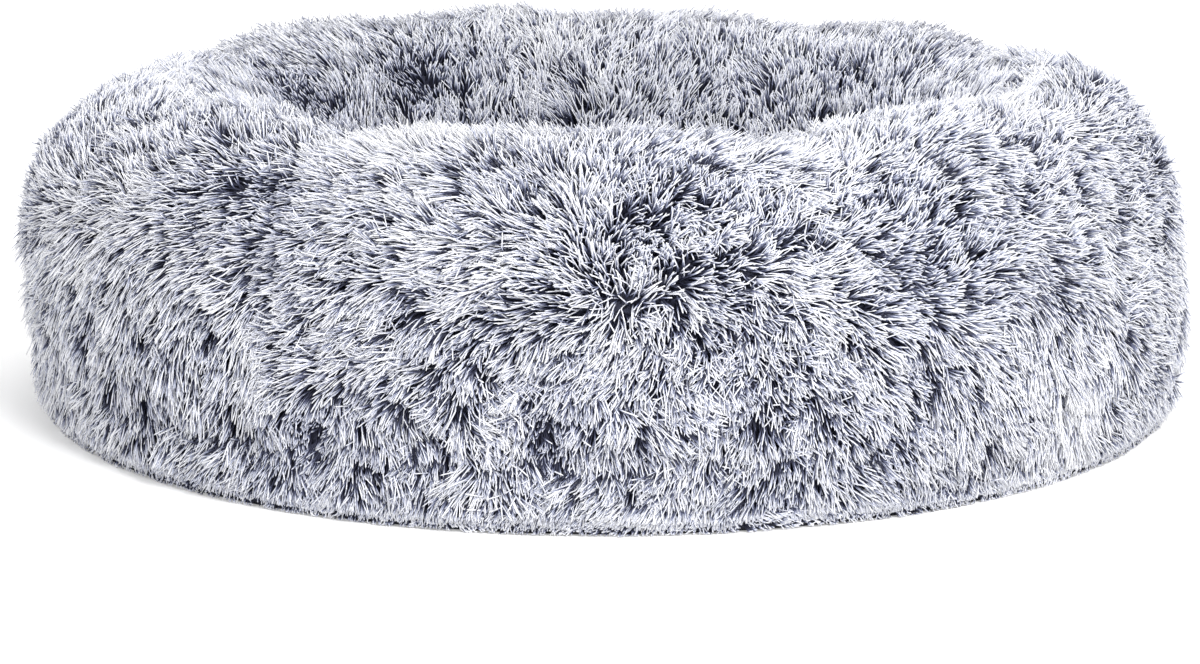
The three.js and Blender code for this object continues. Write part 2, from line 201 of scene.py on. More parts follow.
# Pile
STRANDS_PER_PANEL = {"front": 70000, "right": 46000, "rear": 40000, "left": 46000}
STRANDS_ON_CUSHION = 26000
STRANDS_PER_PIECE = 12400
STRAND_LENGTH = 0.0235
STRAND_WIDTH = 0.00103
STRAND_FLATNESS = 0.6
STRAND_STATIONS = (0, 0.5, 0.94, 1)
STRAND_LOCK_REACH = 0.36
STRAND_WIDTH_SHARES = (0.75, 1, 0.85)
STRAY_SHARE = 0.07
GATHER_SHARE = 0.29
GATHER_SPREAD = 0.24
SAG_SHARE = 0.10
CURL = 0.0006
CURL_SHARES = (0, -0.7, 1, 1.2)
COVERED_AHEAD = 0.014
DARK_SHARE = 0.46
TUFT_SIZE = 0.006
LOCK_SIZE = 0.014
PATCH_SIZE = 0.034
DRIFT_SIZE = 0.085
SHADE_SIZE = 0.021
SHADE_DRIFT_SIZE = 0.09
FLOOR_CLEARANCE = 0.0008
ZIPPER_CHANNEL_TOP = 0.0295
ZIPPER_CHANNEL_RADIUS = 0.395

# How much a strand turns aside and bends: with its lock, with its tuft, and by itself
WAY_SHARES = (0.9, 0.4, 0.17)
BEND_SHARES = (1.5, 0.9, 0.2)

# Degrees a strand lies over at its root and its tip: always, when it leans, and when it hangs
ROOT_ANGLES = (20, 38, 12)
TIP_ANGLES = (34, 48, 6)

# Heights where a fade down the hem starts: hanging, cleared round the zipper, and painted shade
HANGING_TOP = 0.045
CLEARED_TOP = 0.075
CLEARED_UP = 60
PAINTED_SHADE_TOP = 0.04
HEM_FADE = 0.03

# Pile colours from root to tip, and how far a tint and fine streaks shift a strand along them
TINT_COLUMNS = 64
TINT_SHARE = 0.9
STREAK_SHARE = 0.35
PILE_COLOURS = (
    (0, (0.018, 0.020, 0.042)),
    (0.16, (0.022, 0.025, 0.052)),
    (0.27, (0.083, 0.093, 0.166)),
    (0.36, (0.385, 0.413, 0.54)),
    (0.48, (0.80, 0.81, 0.88)),
    (1, (0.94, 0.945, 0.97)),
)


def solids_tree(names):
    """One tree for casting rays at several frame solids together."""
    points = []
    faces = []
    for name in names:
        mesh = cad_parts[name].data
        first = len(points)
        points.extend(vertex.co.copy() for vertex in mesh.vertices)
        faces.extend([first + index for index in face.vertices] for face in mesh.polygons)
    return BVHTree.FromPolygons(points, faces)


def spoke(around):
    """Unit vector away from the axis."""
    angle = math.radians(around)
    return Vector((math.sin(angle), -math.cos(angle), 0))


def reach_from_outside(tree, section, around, up):
    """How far solids reach from a section's middle, as a share of its half sizes. It is below 0
    where the ray meets them only past the middle, and not a number where it misses them."""
    ring_radius, ring_height, half_width, rise = section
    angle = math.radians(up)
    outward = spoke(around) * (half_width * math.cos(angle))
    outward.z = rise * math.sin(angle)
    middle = spoke(around) * ring_radius
    middle.z = ring_height
    hit = tree.ray_cast(middle + outward * RAY_START_SHARE, -outward)[0]
    if hit is None:
        return math.nan
    return math.copysign((hit - middle).length / outward.length, (hit - middle).dot(outward))


def reaches_from_outside(names, section, arounds, ups):
    """The reach of some solids at each turn around and up."""
    tree = solids_tree(names)
    return np.array([[reach_from_outside(tree, section, a, u) for u in ups] for a in arounds])


AROUNDS = (np.arange(AROUND_STEPS) + 0.5) * 360 / AROUND_STEPS
UPS = np.arange(UP_STEPS) * 360 / UP_STEPS - 180


def blurred(field, sigma, axis):
    """Periodic Gaussian blur of a grid along one axis, sigma in cells."""
    radius = int(3 * sigma) + 1
    total = np.zeros_like(field)
    weights = 0
    for offset in range(-radius, radius + 1):
        weight = math.exp(-offset * offset / (2 * sigma * sigma))
        total += weight * np.roll(field, offset, axis)
        weights += weight
    return total / weights


def in_groove(around, margin=0):
    """1 inside the zipper's groove, easing to 0 past its ends."""
    turn = np.mod(np.asarray(around, float), 360)
    rising = (turn - (GROOVE_START - margin)) / GROOVE_EASE + 0.5
    falling = ((GROOVE_END + margin) - turn) / GROOVE_EASE + 0.5
    return np.clip(np.minimum(rising, falling), 0, 1)


def cover_reach():
    """Reach of the cover's outside over the whole grid, with walls carried on down to the floor."""
    reach = np.abs(reaches_from_outside(PANEL_NODES, RING_SECTION, AROUNDS, UPS))
    across, rise = np.cos(np.radians(UPS)), np.sin(np.radians(UPS))
    height = RING_HEIGHT + reach * RING_RISE * rise
    out = np.abs(reach * RING_HALF_WIDTH * across)
    hem = HEM_HEIGHT + (GROOVE_TOP - GROOVE_CLEARANCE) * in_groove(AROUNDS, 1)
    for column in range(AROUND_STEPS):
        for side, low in ((1, hem[column]), (-1, SEAT_HEIGHT)):
            lower = (rise < 0.2) & (across * side > 0)
            valid = lower & (height[column] > low) & np.isfinite(reach[column])
            lowest = np.argmin(np.where(valid, height[column], np.inf))
            missing = lower & ~valid
            wall = out[column, lowest]
            reach[column, missing] = wall / (RING_HALF_WIDTH * np.abs(across[missing]))
    floor = (RING_HEIGHT - SKIRT_HEIGHT) / (RING_RISE * np.maximum(-rise, TINY))
    reach = np.minimum(np.where(np.isfinite(reach), reach, 10), floor)
    return np.minimum(blurred(blurred(reach, FACET_BLUR_AROUND, 0), FACET_BLUR_UP, 1), floor)


def round_axis(radius, turn, height):
    """Points at a radius and a height, turned from the front by an angle in radians."""
    radius, turn, height = np.broadcast_arrays(radius, turn, height)
    return np.stack([radius * np.sin(turn), -radius * np.cos(turn), height], axis=-1)


def grid_points(reach, inset):
    """Points of the grid drawn in towards the section's middle by an inset in metres."""
    angles = np.radians(UPS)
    out = reach * RING_HALF_WIDTH * np.cos(angles)
    rise = reach * RING_RISE * np.sin(angles)
    share = 1 - inset / np.hypot(out, rise)
    turn = np.radians(AROUNDS)[:, None]
    return round_axis(RING_RADIUS + out * share, turn, RING_HEIGHT + rise * share)


def grid_quads(columns, rows, closes=True, closes_rows=True):
    """Faces of a grid that may meet itself again after its last column and its last row."""
    column, row = np.mgrid[: columns if closes else columns - 1, : rows if closes_rows else rows - 1]
    here, after = column * rows, (column + 1) % columns * rows
    above = (row + 1) % rows
    return np.stack([here + row, after + row, after + above, here + above], axis=-1).reshape(-1, 4)


def tube_faces(rings, sides):
    """Faces of a tube from ring to ring, with a lid on each end."""
    lid = np.arange(sides)
    return [*grid_quads(rings, sides, closes=False), lid, ((rings - 1) * sides + lid)[::-1]]


def new_object(name, data):
    made = bpy.data.objects.new(name, data)
    bpy.context.scene.collection.objects.link(made)
    return made


def new_mesh(name, points, faces):
    mesh = bpy.data.meshes.new(name)
    points = np.asarray(points, float).reshape(-1, 3)
    mesh.from_pydata(points.tolist(), [], [list(map(int, face)) for face in faces])
    return mesh


def repeated(faces, times, points):
    """The faces of one form for each of a row of such forms that have so many points each."""
    return [face + first for first in range(0, times * points, points) for face in faces]


def dressed(name, mesh, material):
    """A smooth shaded piece with its material, which rides the bed."""
    mesh.shade_smooth()
    mesh.materials.append(material)
    piece = new_object(name, mesh)
    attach(piece, "bed")
    return piece


def new_piece(name, points, faces, material, node=None):
    """A piece of points and faces, which stands in for a node's solid if one is named."""
    mesh = new_mesh(name, points, faces)
    mesh.validate()
    piece = dressed(name, mesh, material)
    if node:
        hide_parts(node)
    return piece


def swollen(points, pinned):
    """Lets the cover's closed skin swell under cloth pressure, and gives back its points."""
    mesh = new_mesh("swelling_bolster", points, grid_quads(*pinned.shape))
    pad = new_object("swelling_bolster", mesh)
    group = pad.vertex_groups.new(name="sewn")
    group.add([int(index) for index in np.flatnonzero(pinned.reshape(-1))], 1, "REPLACE")
    cloth = pad.modifiers.new("cloth", "CLOTH")
    cloth.settings.vertex_group_mass = "sewn"
    cloth.settings.use_pressure = True
    cloth.settings.uniform_pressure_force = SWELL_PRESSURE
    cloth.settings.effector_weights.gravity = 0
    cloth.settings.quality = SWELL_STEPS
    cloth.point_cache.frame_start = 1
    cloth.point_cache.frame_end = SWELL_FRAMES
    scene = bpy.context.scene
    for step in range(1, SWELL_FRAMES + 1):
        scene.frame_set(step)
    settled = pad.evaluated_get(bpy.context.evaluated_depsgraph_get()).data
    moved = np.empty(len(settled.vertices) * 3)
    settled.vertices.foreach_get("co", moved)
    bpy.data.objects.remove(pad)
    bpy.data.meshes.remove(mesh)
    scene.frame_set(1)
    shift = moved.reshape(points.shape) - points
    length = np.linalg.norm(shift, axis=-1, keepdims=True)
    shift *= np.minimum(1, SWELL_CAP / np.maximum(length, 1e-9))
    return points + shift


def unit(vectors):
    return vectors / np.maximum(np.linalg.norm(vectors, axis=-1, keepdims=True), 1e-12)


def turned_from(first, second, angle):
    """What a first direction becomes when turned towards a second one by an angle."""
    return first * np.cos(angle) + second * np.sin(angle)


def grid_normals(points, closes=False):
    """Outward normals of a grid whose faces wind outwards."""
    along = np.gradient(points, axis=0)
    if closes:
        along = np.roll(points, -1, 0) - np.roll(points, 1, 0)
    across = np.gradient(points, axis=1)
    return unit(np.cross(along, across))


def shell(points, thickness, closes=False, capped=()):
    """A closed skin from a grid: its outside, an inside set in along the normals, and edges.
    A grid that closes meets itself again after its last column, and a capped row gets a lid."""
    columns, rows = points.shape[:2]
    inside = points - grid_normals(points, closes) * thickness
    count = columns * rows
    outer = grid_quads(columns, rows, closes, closes_rows=False)
    faces = [*np.stack([outer, count + outer[:, [0, 3, 2, 1]]], axis=1).reshape(-1, 4)]
    for row in (0, rows - 1):
        rim = np.arange(columns) * rows + row
        turn = -1 if row == 0 else 1
        if row in capped:
            faces += [rim[::turn], (count + rim)[::-turn]]
            continue
        after = np.roll(rim, -1)
        edges = np.stack([rim, count + rim, count + after, after], axis=-1)
        faces += [*edges[: columns if closes else columns - 1, ::-turn]]
    for column in () if closes else (0, columns - 1):
        low = column * rows + np.arange(rows - 1)
        edges = np.stack([low, low + 1, count + low + 1, count + low], axis=-1)
        faces += [*edges[:, :: 1 if column == 0 else -1]]
    return np.concatenate([points.reshape(-1, 3), inside.reshape(-1, 3)]), faces


def column_profile(radii, heights, around):
    """Radius and height up the section at any turn, between the grid's columns."""
    place = np.mod(around * AROUND_STEPS / 360 - 0.5, AROUND_STEPS)
    low = int(place)
    share = place - low
    high = (low + 1) % AROUND_STEPS
    radius = radii[low] * (1 - share) + radii[high] * share
    height = heights[low] * (1 - share) + heights[high] * share
    return radius, height


def panel_grid(skin, first):
    """One cover panel's outside from its hem up over the crest to the well's seam."""
    radii = np.hypot(skin[..., 0], skin[..., 1])
    gap = math.degrees(SEAM_GAP / 2 / RING_RADIUS)
    arounds = np.linspace(first + gap, first + PANEL_TURN - gap, PANEL_COLUMNS)
    ups = np.empty((PANEL_COLUMNS, PANEL_ROWS))
    radius, height = np.empty((2, PANEL_COLUMNS, PANEL_ROWS))
    twice_ups = np.concatenate([UPS, UPS + 360])
    outside = (UPS > WALL_UPS[0]) & (UPS < WALL_UPS[1])
    wall = np.linspace(0, 1, WALL_ROWS, endpoint=False)
    fall = np.clip((1 - wall) / SKIRT_SHARE, 0, 1)
    fall = fall * fall * (3 - 2 * fall)
    for index, around in enumerate(arounds):
        out, rise = column_profile(radii, skin[..., 2], around)
        low = np.interp(WALL_TOP, rise[outside], UPS[outside])
        hem = SKIRT_HEIGHT + (GROOVE_TOP - SKIRT_HEIGHT) * float(in_groove(around))
        hem_up = low - (WALL_TOP - hem) / MIDDLE_ARC
        ups[index, :WALL_ROWS] = np.linspace(hem_up, low, WALL_ROWS, endpoint=False)
        ups[index, WALL_ROWS:] = np.linspace(low, WELL_SEAM_UP, CREST_ROWS)
        radius[index] = np.interp(ups[index], twice_ups, np.tile(out, 2))
        height[index] = np.interp(ups[index], twice_ups, np.tile(rise, 2))
        wall_radius = radius[index, WALL_ROWS]
        radius[index, :WALL_ROWS] = wall_radius + (SKIRT_RADIUS - wall_radius) * fall
        height[index, :WALL_ROWS] = hem + (WALL_TOP - hem) * wall
    return arounds, ups, round_axis(radius, np.radians(arounds)[:, None], height)


# Seeded randomness
def hashed(cells, seed):
    """A number from 0 to 1 for each cell of a lattice."""
    mixed = cells.astype(np.int64).astype(np.uint64)
    value = mixed[..., 0] * np.uint64(73856093)
    value ^= mixed[..., 1] * np.uint64(19349663)
    value ^= mixed[..., 2] * np.uint64(83492791)
    value ^= np.uint64(seed * 2654435761 % 2**32)
    for shift in (15, 13, 16):
        value ^= value >> np.uint64(shift)
        value = (value * np.uint64(2246822519)) & np.uint64(2**32 - 1)
    return value.astype(float) / 2**32


def smooth_noise(points, size, seed):
    """Noise from -1 to 1 that changes over about one size."""
    place = points / size
    corner = np.floor(place)
    share = place - corner
    share = share * share * (3 - 2 * share)
    total = 0
    for step in np.ndindex(2, 2, 2):
        weight = np.prod(np.where(step, share, 1 - share), axis=-1)
        total = total + weight * hashed(corner + step, seed)
    return total * 2 - 1


def nearest_tuft(points, size, seed):
    """For each point the middle of the tuft that it belongs to, and the tuft's lattice cell."""
    corner = np.floor(points / size)
    best = np.full(len(points), np.inf)
    middle = np.empty_like(points)
    cell = np.empty_like(points)
    for step in np.ndindex(3, 3, 3):
        around = corner + step - 1
        jitter = np.stack([hashed(around, seed + k) for k in range(3)], axis=-1)
        spot = (around + jitter) * size
        distance = np.sum((spot - points) ** 2, axis=-1)
        closer = distance < best
        best[closer] = distance[closer]
        middle[closer] = spot[closer]
        cell[closer] = around[closer]
    return middle, cell


def scattered(grid, count, rng):
    """Places spread evenly over a grid's area: cell and share within the cell, both ways."""
    side_a = grid[1:, :-1] - grid[:-1, :-1]
    side_b = grid[:-1, 1:] - grid[:-1, :-1]
    area = np.linalg.norm(np.cross(side_a, side_b), axis=-1)
    flat = area.reshape(-1)
    total = np.cumsum(flat)
    picks = (np.arange(count) + rng.random(count)) / count * total[-1]
    cells = np.searchsorted(total, picks)
    columns, rows = np.divmod(np.minimum(cells, len(flat) - 1), area.shape[1])
    return columns, rows, rng.random(count), rng.random(count)


def between(field, columns, rows, s, t):
    """Bilinear value of a grid's field inside its cells."""
    if field.ndim == 3:
        s = s[:, None]
        t = t[:, None]
    low = field[columns, rows] * (1 - s) + field[columns + 1, rows] * s
    high = field[columns, rows + 1] * (1 - s) + field[columns + 1, rows + 1] * s
    return low * (1 - t) + high * t


# Where the pile parts and shows its roots, and where painted shade darkens the strands over hollows and
# between lumps: around, up, reach, strength
HOLLOWS_AND_PAINTED_SHADE = (
    (-36, 52, 0.014, 1.3), (-34, 40, 0.010, 1.0), (-32.5, 28, 0.009, 0.9), (-32, 14, 0.008, 0.7),
    (-23, 28, 0.007, 0.6), (-16, 18, 0.008, 0.6), (-14, 8, 0.007, 0.9), (-11, 8, 0.007, 0.7),
    (-27, 2, 0.008, 0.8), (-28, -21, 0.013, 1.6), (-22, -30, 0.010, 0.9), (-21, -8, 0.010, 0.7),
    (-39, 7, 0.009, 0.6), (-58, 0, 0.011, 0.7), (-39, -8, 0.009, 0.6), (-48, -22, 0.014, 0.3),
    (-5, -17, 0.009, 1.6), (-16, -26, 0.007, 0.7), (6, 15, 0.010, 0.4), (4, 42, 0.020, 0.4),
    (12, 60, 0.026, 0.5), (30, 25, 0.024, 0.7), (-55, 76, 0.030, 0.25), (-31, -31, 0.016, 0.5),
    (11, 32, 0.008, 0.9), (11, 21, 0.009, 0.9), (10, 8, 0.008, 0.7), (16, 38, 0.008, 0.8),
    (27, 51, 0.011, 1.1), (33, 36, 0.030, 0.5), (29, 9, 0.010, 0.6), (28, -4, 0.009, 1.1),
    (44, 49, 0.010, 0.7), (45, 9, 0.011, 0.6), (25, -21, 0.007, 0.8), (15, -27, 0.009, 0.7),
    (18, -10, 0.008, 0.6), (12, -8, 0.008, 0.5), (-7, 57, 0.009, 0.5), (217, 133, 0.020, 1.2),
    (245, 132, 0.024, 1.3), (174, 134, 0.011, 0.4), (154, 141, 0.012, 0.5), (132, 132, 0.012, 0.8),
    (117, 141, 0.013, 0.8), (60, 128, 0.022, 0.6), (20, 132, 0.022, 0.6), (339, 130, 0.022, 0.6),
    (295, 132, 0.022, 0.6), (72, 40, 0.012, 0.6), (88, 10, 0.012, 0.6), (102, 52, 0.014, 0.6),
    (117, 20, 0.014, 0.7), (139, 50, 0.016, 0.7), (152, 14, 0.012, 0.6), (170, 40, 0.014, 0.7),
    (190, 8, 0.012, 0.6), (208, 48, 0.016, 0.7), (226, 16, 0.014, 0.7), (246, 52, 0.016, 0.7),
    (262, 12, 0.012, 0.6), (280, 44, 0.014, 0.6),
)

# Where painted light makes the pile paler, with fewer dark strands: around, up, reach, strength
PAINTED_LIGHT_PLACES = (
    (-24, 87, 0.036, 1.9), (-8, 84, 0.020, 1.1), (25, 80, 0.034, 0.7), (60, 80, 0.040, 1.2),
    (46, -26, 0.036, 1.5), (-58, 24, 0.050, 0.6), (1, 20, 0.018, 1.6), (72, 102, 0.040, 0.9),
    (1, 4, 0.012, 0.8), (19, 23, 0.015, 0.6), (-24, 20, 0.012, 0.8), (-7, 40, 0.018, 0.3),
    (62, 10, 0.030, 0.6), (128, 30, 0.025, 0.7), (180, 62, 0.030, 0.7), (189, 126, 0.034, 0.9),
    (236, 34, 0.025, 0.7), (298, 62, 0.030, 0.2),
)

# Where the pile is tangled: around, up, reach, strength
TANGLES = (
    (5, 36, 0.034, 1.3), (7, 30, 0.06, 0.8), (12, 5, 0.05, 0.9), (16, 45, 0.04, 0.8),
    (-10, -5, 0.05, 0.6), (170, 20, 0.07, 0.7), (95, 10, 0.06, 0.5),
)

# The pile parts down the middle of the front. How steeply it is combed up the section, by up
FRONT_PARTING = 1.5
PARTING_SHARPNESS = 4
PARTING_OVERLAP = 5
PARTING_RAGGEDNESS = 3
PARTING_UP = 17
PARTING_TOP = 75
PARTING_REACH = 5
PARTING_EASE = 6
LOW_PARTING_REACH = 28
CROSSING_SIZE = 0.0003
COMBED_UPS = (-40, -5, 12, 28, 42, 56, 70, 84, 92, 100, 164, 172, 200)
COMBED_RISES = (-2.4, -1.6, -0.8, -0.3, 0.0, 0.1, 0.6, 1.1, 0.2, -1.5, -1.8, 1.6, 2)

# Places on the bolster, by around or by up: the middle of one and how far it reaches
RISEN_AROUNDS = (7, 7)
RISEN_UPS = (42, 14)
FACING_AROUNDS = (3.5, 6)
FACING_UPS = (34, 13)
CREASE_AROUNDS = (-29, 3.5)
CREASE_UPS = (38, 24)
CREST_UPS = (88, 20)
# The painted highlight along the crest: its middle up and reach
PAINTED_CREST_LIGHT_UPS = (84, 13)
# Painted light along the crest at the rear: its middle up and reach
PAINTED_REAR_LIGHT_UPS = (100, 16)

# Where a change in the pile begins and how wide it is, backwards if below 0
FRONT_EDGE = (115, -20)
FALLEN_AROUNDS = (30, 20)
LOW_UPS = (24, -20)
WELL_UPS = (86, 16)


def ramp(values, start, width):
    """0 up to a start and 1 past a width from there; a negative width runs the other way."""
    return np.clip((values - start) / width, 0, 1)


def bell(values, middle, reach):
    """1 at a middle, falling off smoothly both ways."""
    return np.exp(-(((values - middle) / reach) ** 2))


def turn_between(start, end):
    return np.mod(end - start + 180, 360) - 180


def felt_at(spots, arounds, ups, radius):
    """How strongly the strongest of some spots is felt at each place."""
    strongest = np.zeros(len(arounds))
    for around, up, size, strength in spots:
        side = np.radians(turn_between(around, arounds)) * radius
        rise = (ups - up) * MIDDLE_ARC
        felt = strength * np.exp(-(side**2 + rise**2) / (2 * size**2))
        strongest = np.maximum(strongest, felt)
    return strongest


def combed(points, arounds, ups):
    """Which way the bolster's pile is combed: along the ring, up the section, and how flat."""
    radius = np.hypot(points[:, 0], points[:, 1])
    from_middle = turn_between(0, arounds)
    from_front = turn_between(FRONT_PARTING, arounds)
    frontness = ramp(np.abs(from_middle), *FRONT_EDGE)
    from_parting = np.where(frontness > 0.5, from_front, turn_between(180, arounds))
    crossing = hashed(np.floor(points / CROSSING_SIZE), 15) - 0.5
    ragged = PARTING_RAGGEDNESS * smooth_noise(points, TUFT_SIZE * 2, 14)
    side = np.tanh((from_parting + PARTING_OVERLAP * crossing + ragged) / PARTING_SHARPNESS)
    rise = np.interp(ups, COMBED_UPS, COMBED_RISES)
    over_parting = bell(from_parting, 0, PARTING_REACH) * (ups < PARTING_TOP)
    above = ups - PARTING_UP + 10 * crossing + 2 * ragged
    rise = rise + 0.9 * over_parting * np.clip(above / PARTING_EASE, -1, 1)
    risen = 0.35 * bell(ups, *RISEN_UPS)
    rise = rise + risen * bell(from_front, *RISEN_AROUNDS)
    rise = rise - risen * ramp(from_front, *FALLEN_AROUNDS) * frontness
    low = ramp(ups, *LOW_UPS)
    side = side * (1 - low * (1 - np.clip(np.abs(from_parting) / LOW_PARTING_REACH, 0.1, 1)))
    side = side * (1 - 0.75 * ramp(ups, *WELL_UPS))
    length = np.maximum(np.hypot(side, rise), TINY)
    side = side / length
    rise = rise / length
    flat = np.clip(length, 0.6, 1) * (1 - 0.4 * bell(ups, *CREST_UPS))
    flat = flat * (1 - 0.6 * bell(from_middle, *FACING_AROUNDS) * bell(ups, *FACING_UPS))
    tangle = felt_at(TANGLES, arounds, ups, radius)
    flat = flat * (1 - 0.3 * bell(from_middle, *CREASE_AROUNDS) * bell(ups, *CREASE_UPS))
    wander = 0.7 * smooth_noise(points, PATCH_SIZE, 11) + 0.5 * smooth_noise(points, DRIFT_SIZE, 12)
    wander = wander + 1.5 * tangle * smooth_noise(points, LOCK_SIZE, 13)
    return turned_from(side, -rise, wander), turned_from(rise, side, wander), flat, tangle


def combed_cushion(points, arounds, _):
    """The cushion's pile lies one way with swirls, and stands up against the wall at its rim."""
    radius = np.hypot(points[:, 0], points[:, 1])
    way = 0.7 * smooth_noise(points, PATCH_SIZE, 21) + 1.6 * smooth_noise(points, DRIFT_SIZE, 22)
    turn = np.radians(arounds)
    rim = ramp(radius, CUSHION_RIM_START, CUSHION_RIM_WIDTH)
    return np.cos(way - turn), -np.sin(turn - way), 0.9 - 0.6 * rim, np.zeros(len(points))


def strand_lines(roots, normals, way, flat, bare_and_shaded, tangle, arounds, rng):
    """Four stations along each strand, which lies in its tuft and lock, and the lock's shade.
    What the strands of a tuft or of a lock share comes from its cell, the rest from the strand."""
    count = len(roots)
    middle, cell = nearest_tuft(roots, TUFT_SIZE, 31)
    lock_middle, lock_cell = nearest_tuft(roots, LOCK_SIZE, 35)
    tuft = [hashed(cell, 40 + k) - 0.5 for k in range(4)]
    lock = [hashed(lock_cell, 60 + k) - 0.5 for k in range(4)]
    stray = rng.random(count) < STRAY_SHARE * (1 + tangle)
    turned = WAY_SHARES[0] * lock[0] + WAY_SHARES[1] * tuft[0]
    turned = turned + rng.normal(0, 1, count) * np.where(stray, 0.5 + 0.6 * tangle, WAY_SHARES[2])
    turned = turned + 2.6 * ramp(tangle, 0.3, 1) * (hashed(cell, 46) - 0.5)
    bend = BEND_SHARES[0] * (hashed(lock_cell, 65) - 0.5) + BEND_SHARES[1] * (hashed(cell, 45) - 0.5)
    bend = bend * (1 + 0.9 * tangle) + rng.normal(0, BEND_SHARES[2], count)
    across = np.cross(normals, way)
    way = unit(turned_from(way, across, turned[:, None]))
    across = np.cross(normals, way)
    ahead = np.sum((lock_middle - roots) * way, axis=-1)
    long = STRAND_LENGTH * (0.96 + 0.2 * tuft[1] + 0.22 * lock[1])
    long = long + STRAND_LOCK_REACH * ahead * np.where(stray, 0.2, 1)
    long = long * (0.80 + 0.35 * rng.random(count)) * np.where(stray, 0.8, 1)
    long = long * (1 - 0.45 * bare_and_shaded) * (1 - 0.2 * np.clip(tangle, 0, 1))
    lean = flat * (1 + 0.15 * tuft[2] + 0.5 * lock[2])
    lean = lean * np.where(stray, 0.6 + 0.4 * rng.random(count), 1)
    lean = np.clip(lean + rng.normal(0, 0.05, count), 0.1, 1.08)
    hanging = ramp(roots[:, 2], HANGING_TOP, -HEM_FADE) * (in_groove(arounds, 1) == 0)
    angles = [
        np.radians(upright + leaning * lean + hung * hanging)
        for upright, leaning, hung in (ROOT_ANGLES, TIP_ANGLES)
    ]
    drop = long * (0.55 - 0.75 * way[:, 2])
    long = long * np.clip((roots[:, 2] - FLOOR_CLEARANCE) / np.maximum(drop, TINY), 0.3, 1)
    to_middle = middle - roots
    to_middle -= np.sum(to_middle * normals, axis=-1, keepdims=True) * normals
    gather = ((GATHER_SHARE + GATHER_SPREAD * tuft[3]) * np.where(stray, 0.3, 1))[:, None]
    line = [roots]
    for start, end in zip(STRAND_STATIONS, STRAND_STATIONS[1:]):
        share = (start + end) / 2
        angle = (angles[0] + (angles[1] - angles[0]) * share)[:, None]
        swung = (bend * (share - 0.35))[:, None]
        direction = turned_from(normals, turned_from(way, across, swung), angle)
        direction[:, 2] -= SAG_SHARE * share
        line.append(line[-1] + unit(direction) * (long * (end - start))[:, None])
    curl = rng.normal(0, CURL, (count, 1))
    for index, (share, curled) in enumerate(zip(STRAND_STATIONS, CURL_SHARES)):
        line[index] = line[index] + to_middle * gather * share**1.5 + across * curl * curled
    for points in line[1:]:
        keep_off_floor(points, arounds)
    return line, (tuft[3] + lock[3]) / 2


def strand_arrays(line, normals, rng):
    """Points of every strand round its line: three rings of three, and a tip."""
    count = len(normals)
    thick = STRAND_WIDTH / 2 * (0.75 + 0.5 * rng.random(count))
    points = np.empty((count, 10, 3))
    for ring, share in enumerate(STRAND_WIDTH_SHARES):
        direction = unit(line[ring + 1] - line[max(ring - 1, 0)])
        sideways = unit(np.cross(direction, normals))
        outward = np.cross(sideways, direction) * STRAND_FLATNESS
        half = (thick * share)[:, None]
        for corner in range(3):
            turn = math.radians(90 + 120 * corner)
            points[:, ring * 3 + corner] = line[ring] + turned_from(sideways, outward, turn) * half
    points[:, 9] = line[3]
    return points


def keep_off_floor(points, arounds):
    """Lifts points off the floor, and out of the way of the zipper's slider and pull."""
    channel = in_groove(arounds, 1) > 0
    near = channel & (np.hypot(points[:, 0], points[:, 1]) < ZIPPER_CHANNEL_RADIUS)
    lowest = np.where(near, ZIPPER_CHANNEL_TOP, FLOOR_CLEARANCE)
    points[:, 2] = np.maximum(points[:, 2], lowest)


def strand_faces():
    """The sixteen triangles of one strand, and where each corner lies across and along it."""
    faces = []
    places = []
    for ring, low in enumerate(STRAND_STATIONS[:3]):
        high = STRAND_STATIONS[ring + 1]
        for corner in range(3):
            left, right = corner / 3, (corner + 1) / 3
            a, b = ring * 3 + corner, ring * 3 + (corner + 1) % 3
            if ring == 2:
                faces.append((a, b, 9))
                places.append(((left, low), (right, low), ((left + right) / 2, high)))
                continue
            faces += [(a, b, b + 3), (a, b + 3, a + 3)]
            places.append(((left, low), (right, low), (right, high)))
            places.append(((left, low), (right, high), (left, high)))
    faces.append((0, 2, 1))
    places.append(((0.1, 0), (0.9, 0), (0.5, 0.06)))
    return np.array(faces), np.array(places)


STRAND_FACES, STRAND_PLACES = strand_faces()


def pile_piece(name, points, tints):
    """One mesh of strands, coloured by where its map puts them: a tint's column, root to tip."""
    count = len(points)
    mesh = bpy.data.meshes.new(name)
    mesh.vertices.add(count * 10)
    mesh.vertices.foreach_set("co", points.reshape(-1).astype(np.float32))
    indices = (np.arange(count)[:, None, None] * 10 + STRAND_FACES[None]).reshape(-1)
    face_count = count * len(STRAND_FACES)
    mesh.loops.add(face_count * 3)
    mesh.polygons.add(face_count)
    mesh.polygons.foreach_set("loop_start", np.arange(face_count, dtype=np.int32) * 3)
    mesh.polygons.foreach_set("vertices", indices.astype(np.int32))
    mesh.update(calc_edges=True)
    layer = mesh.uv_layers.new(name="OFBake")
    places = np.broadcast_to(STRAND_PLACES[None], (count, *STRAND_PLACES.shape)).copy()
    inner = 0.14 + 0.72 * places[..., 0]
    places[..., 0] = (tints[:, None, None] + inner) / TINT_COLUMNS
    places[..., 1] = 0.01 + 0.98 * places[..., 1]
    layer.data.foreach_set("uv", places.reshape(-1).astype(np.float32))
    dressed(name, mesh, pile)


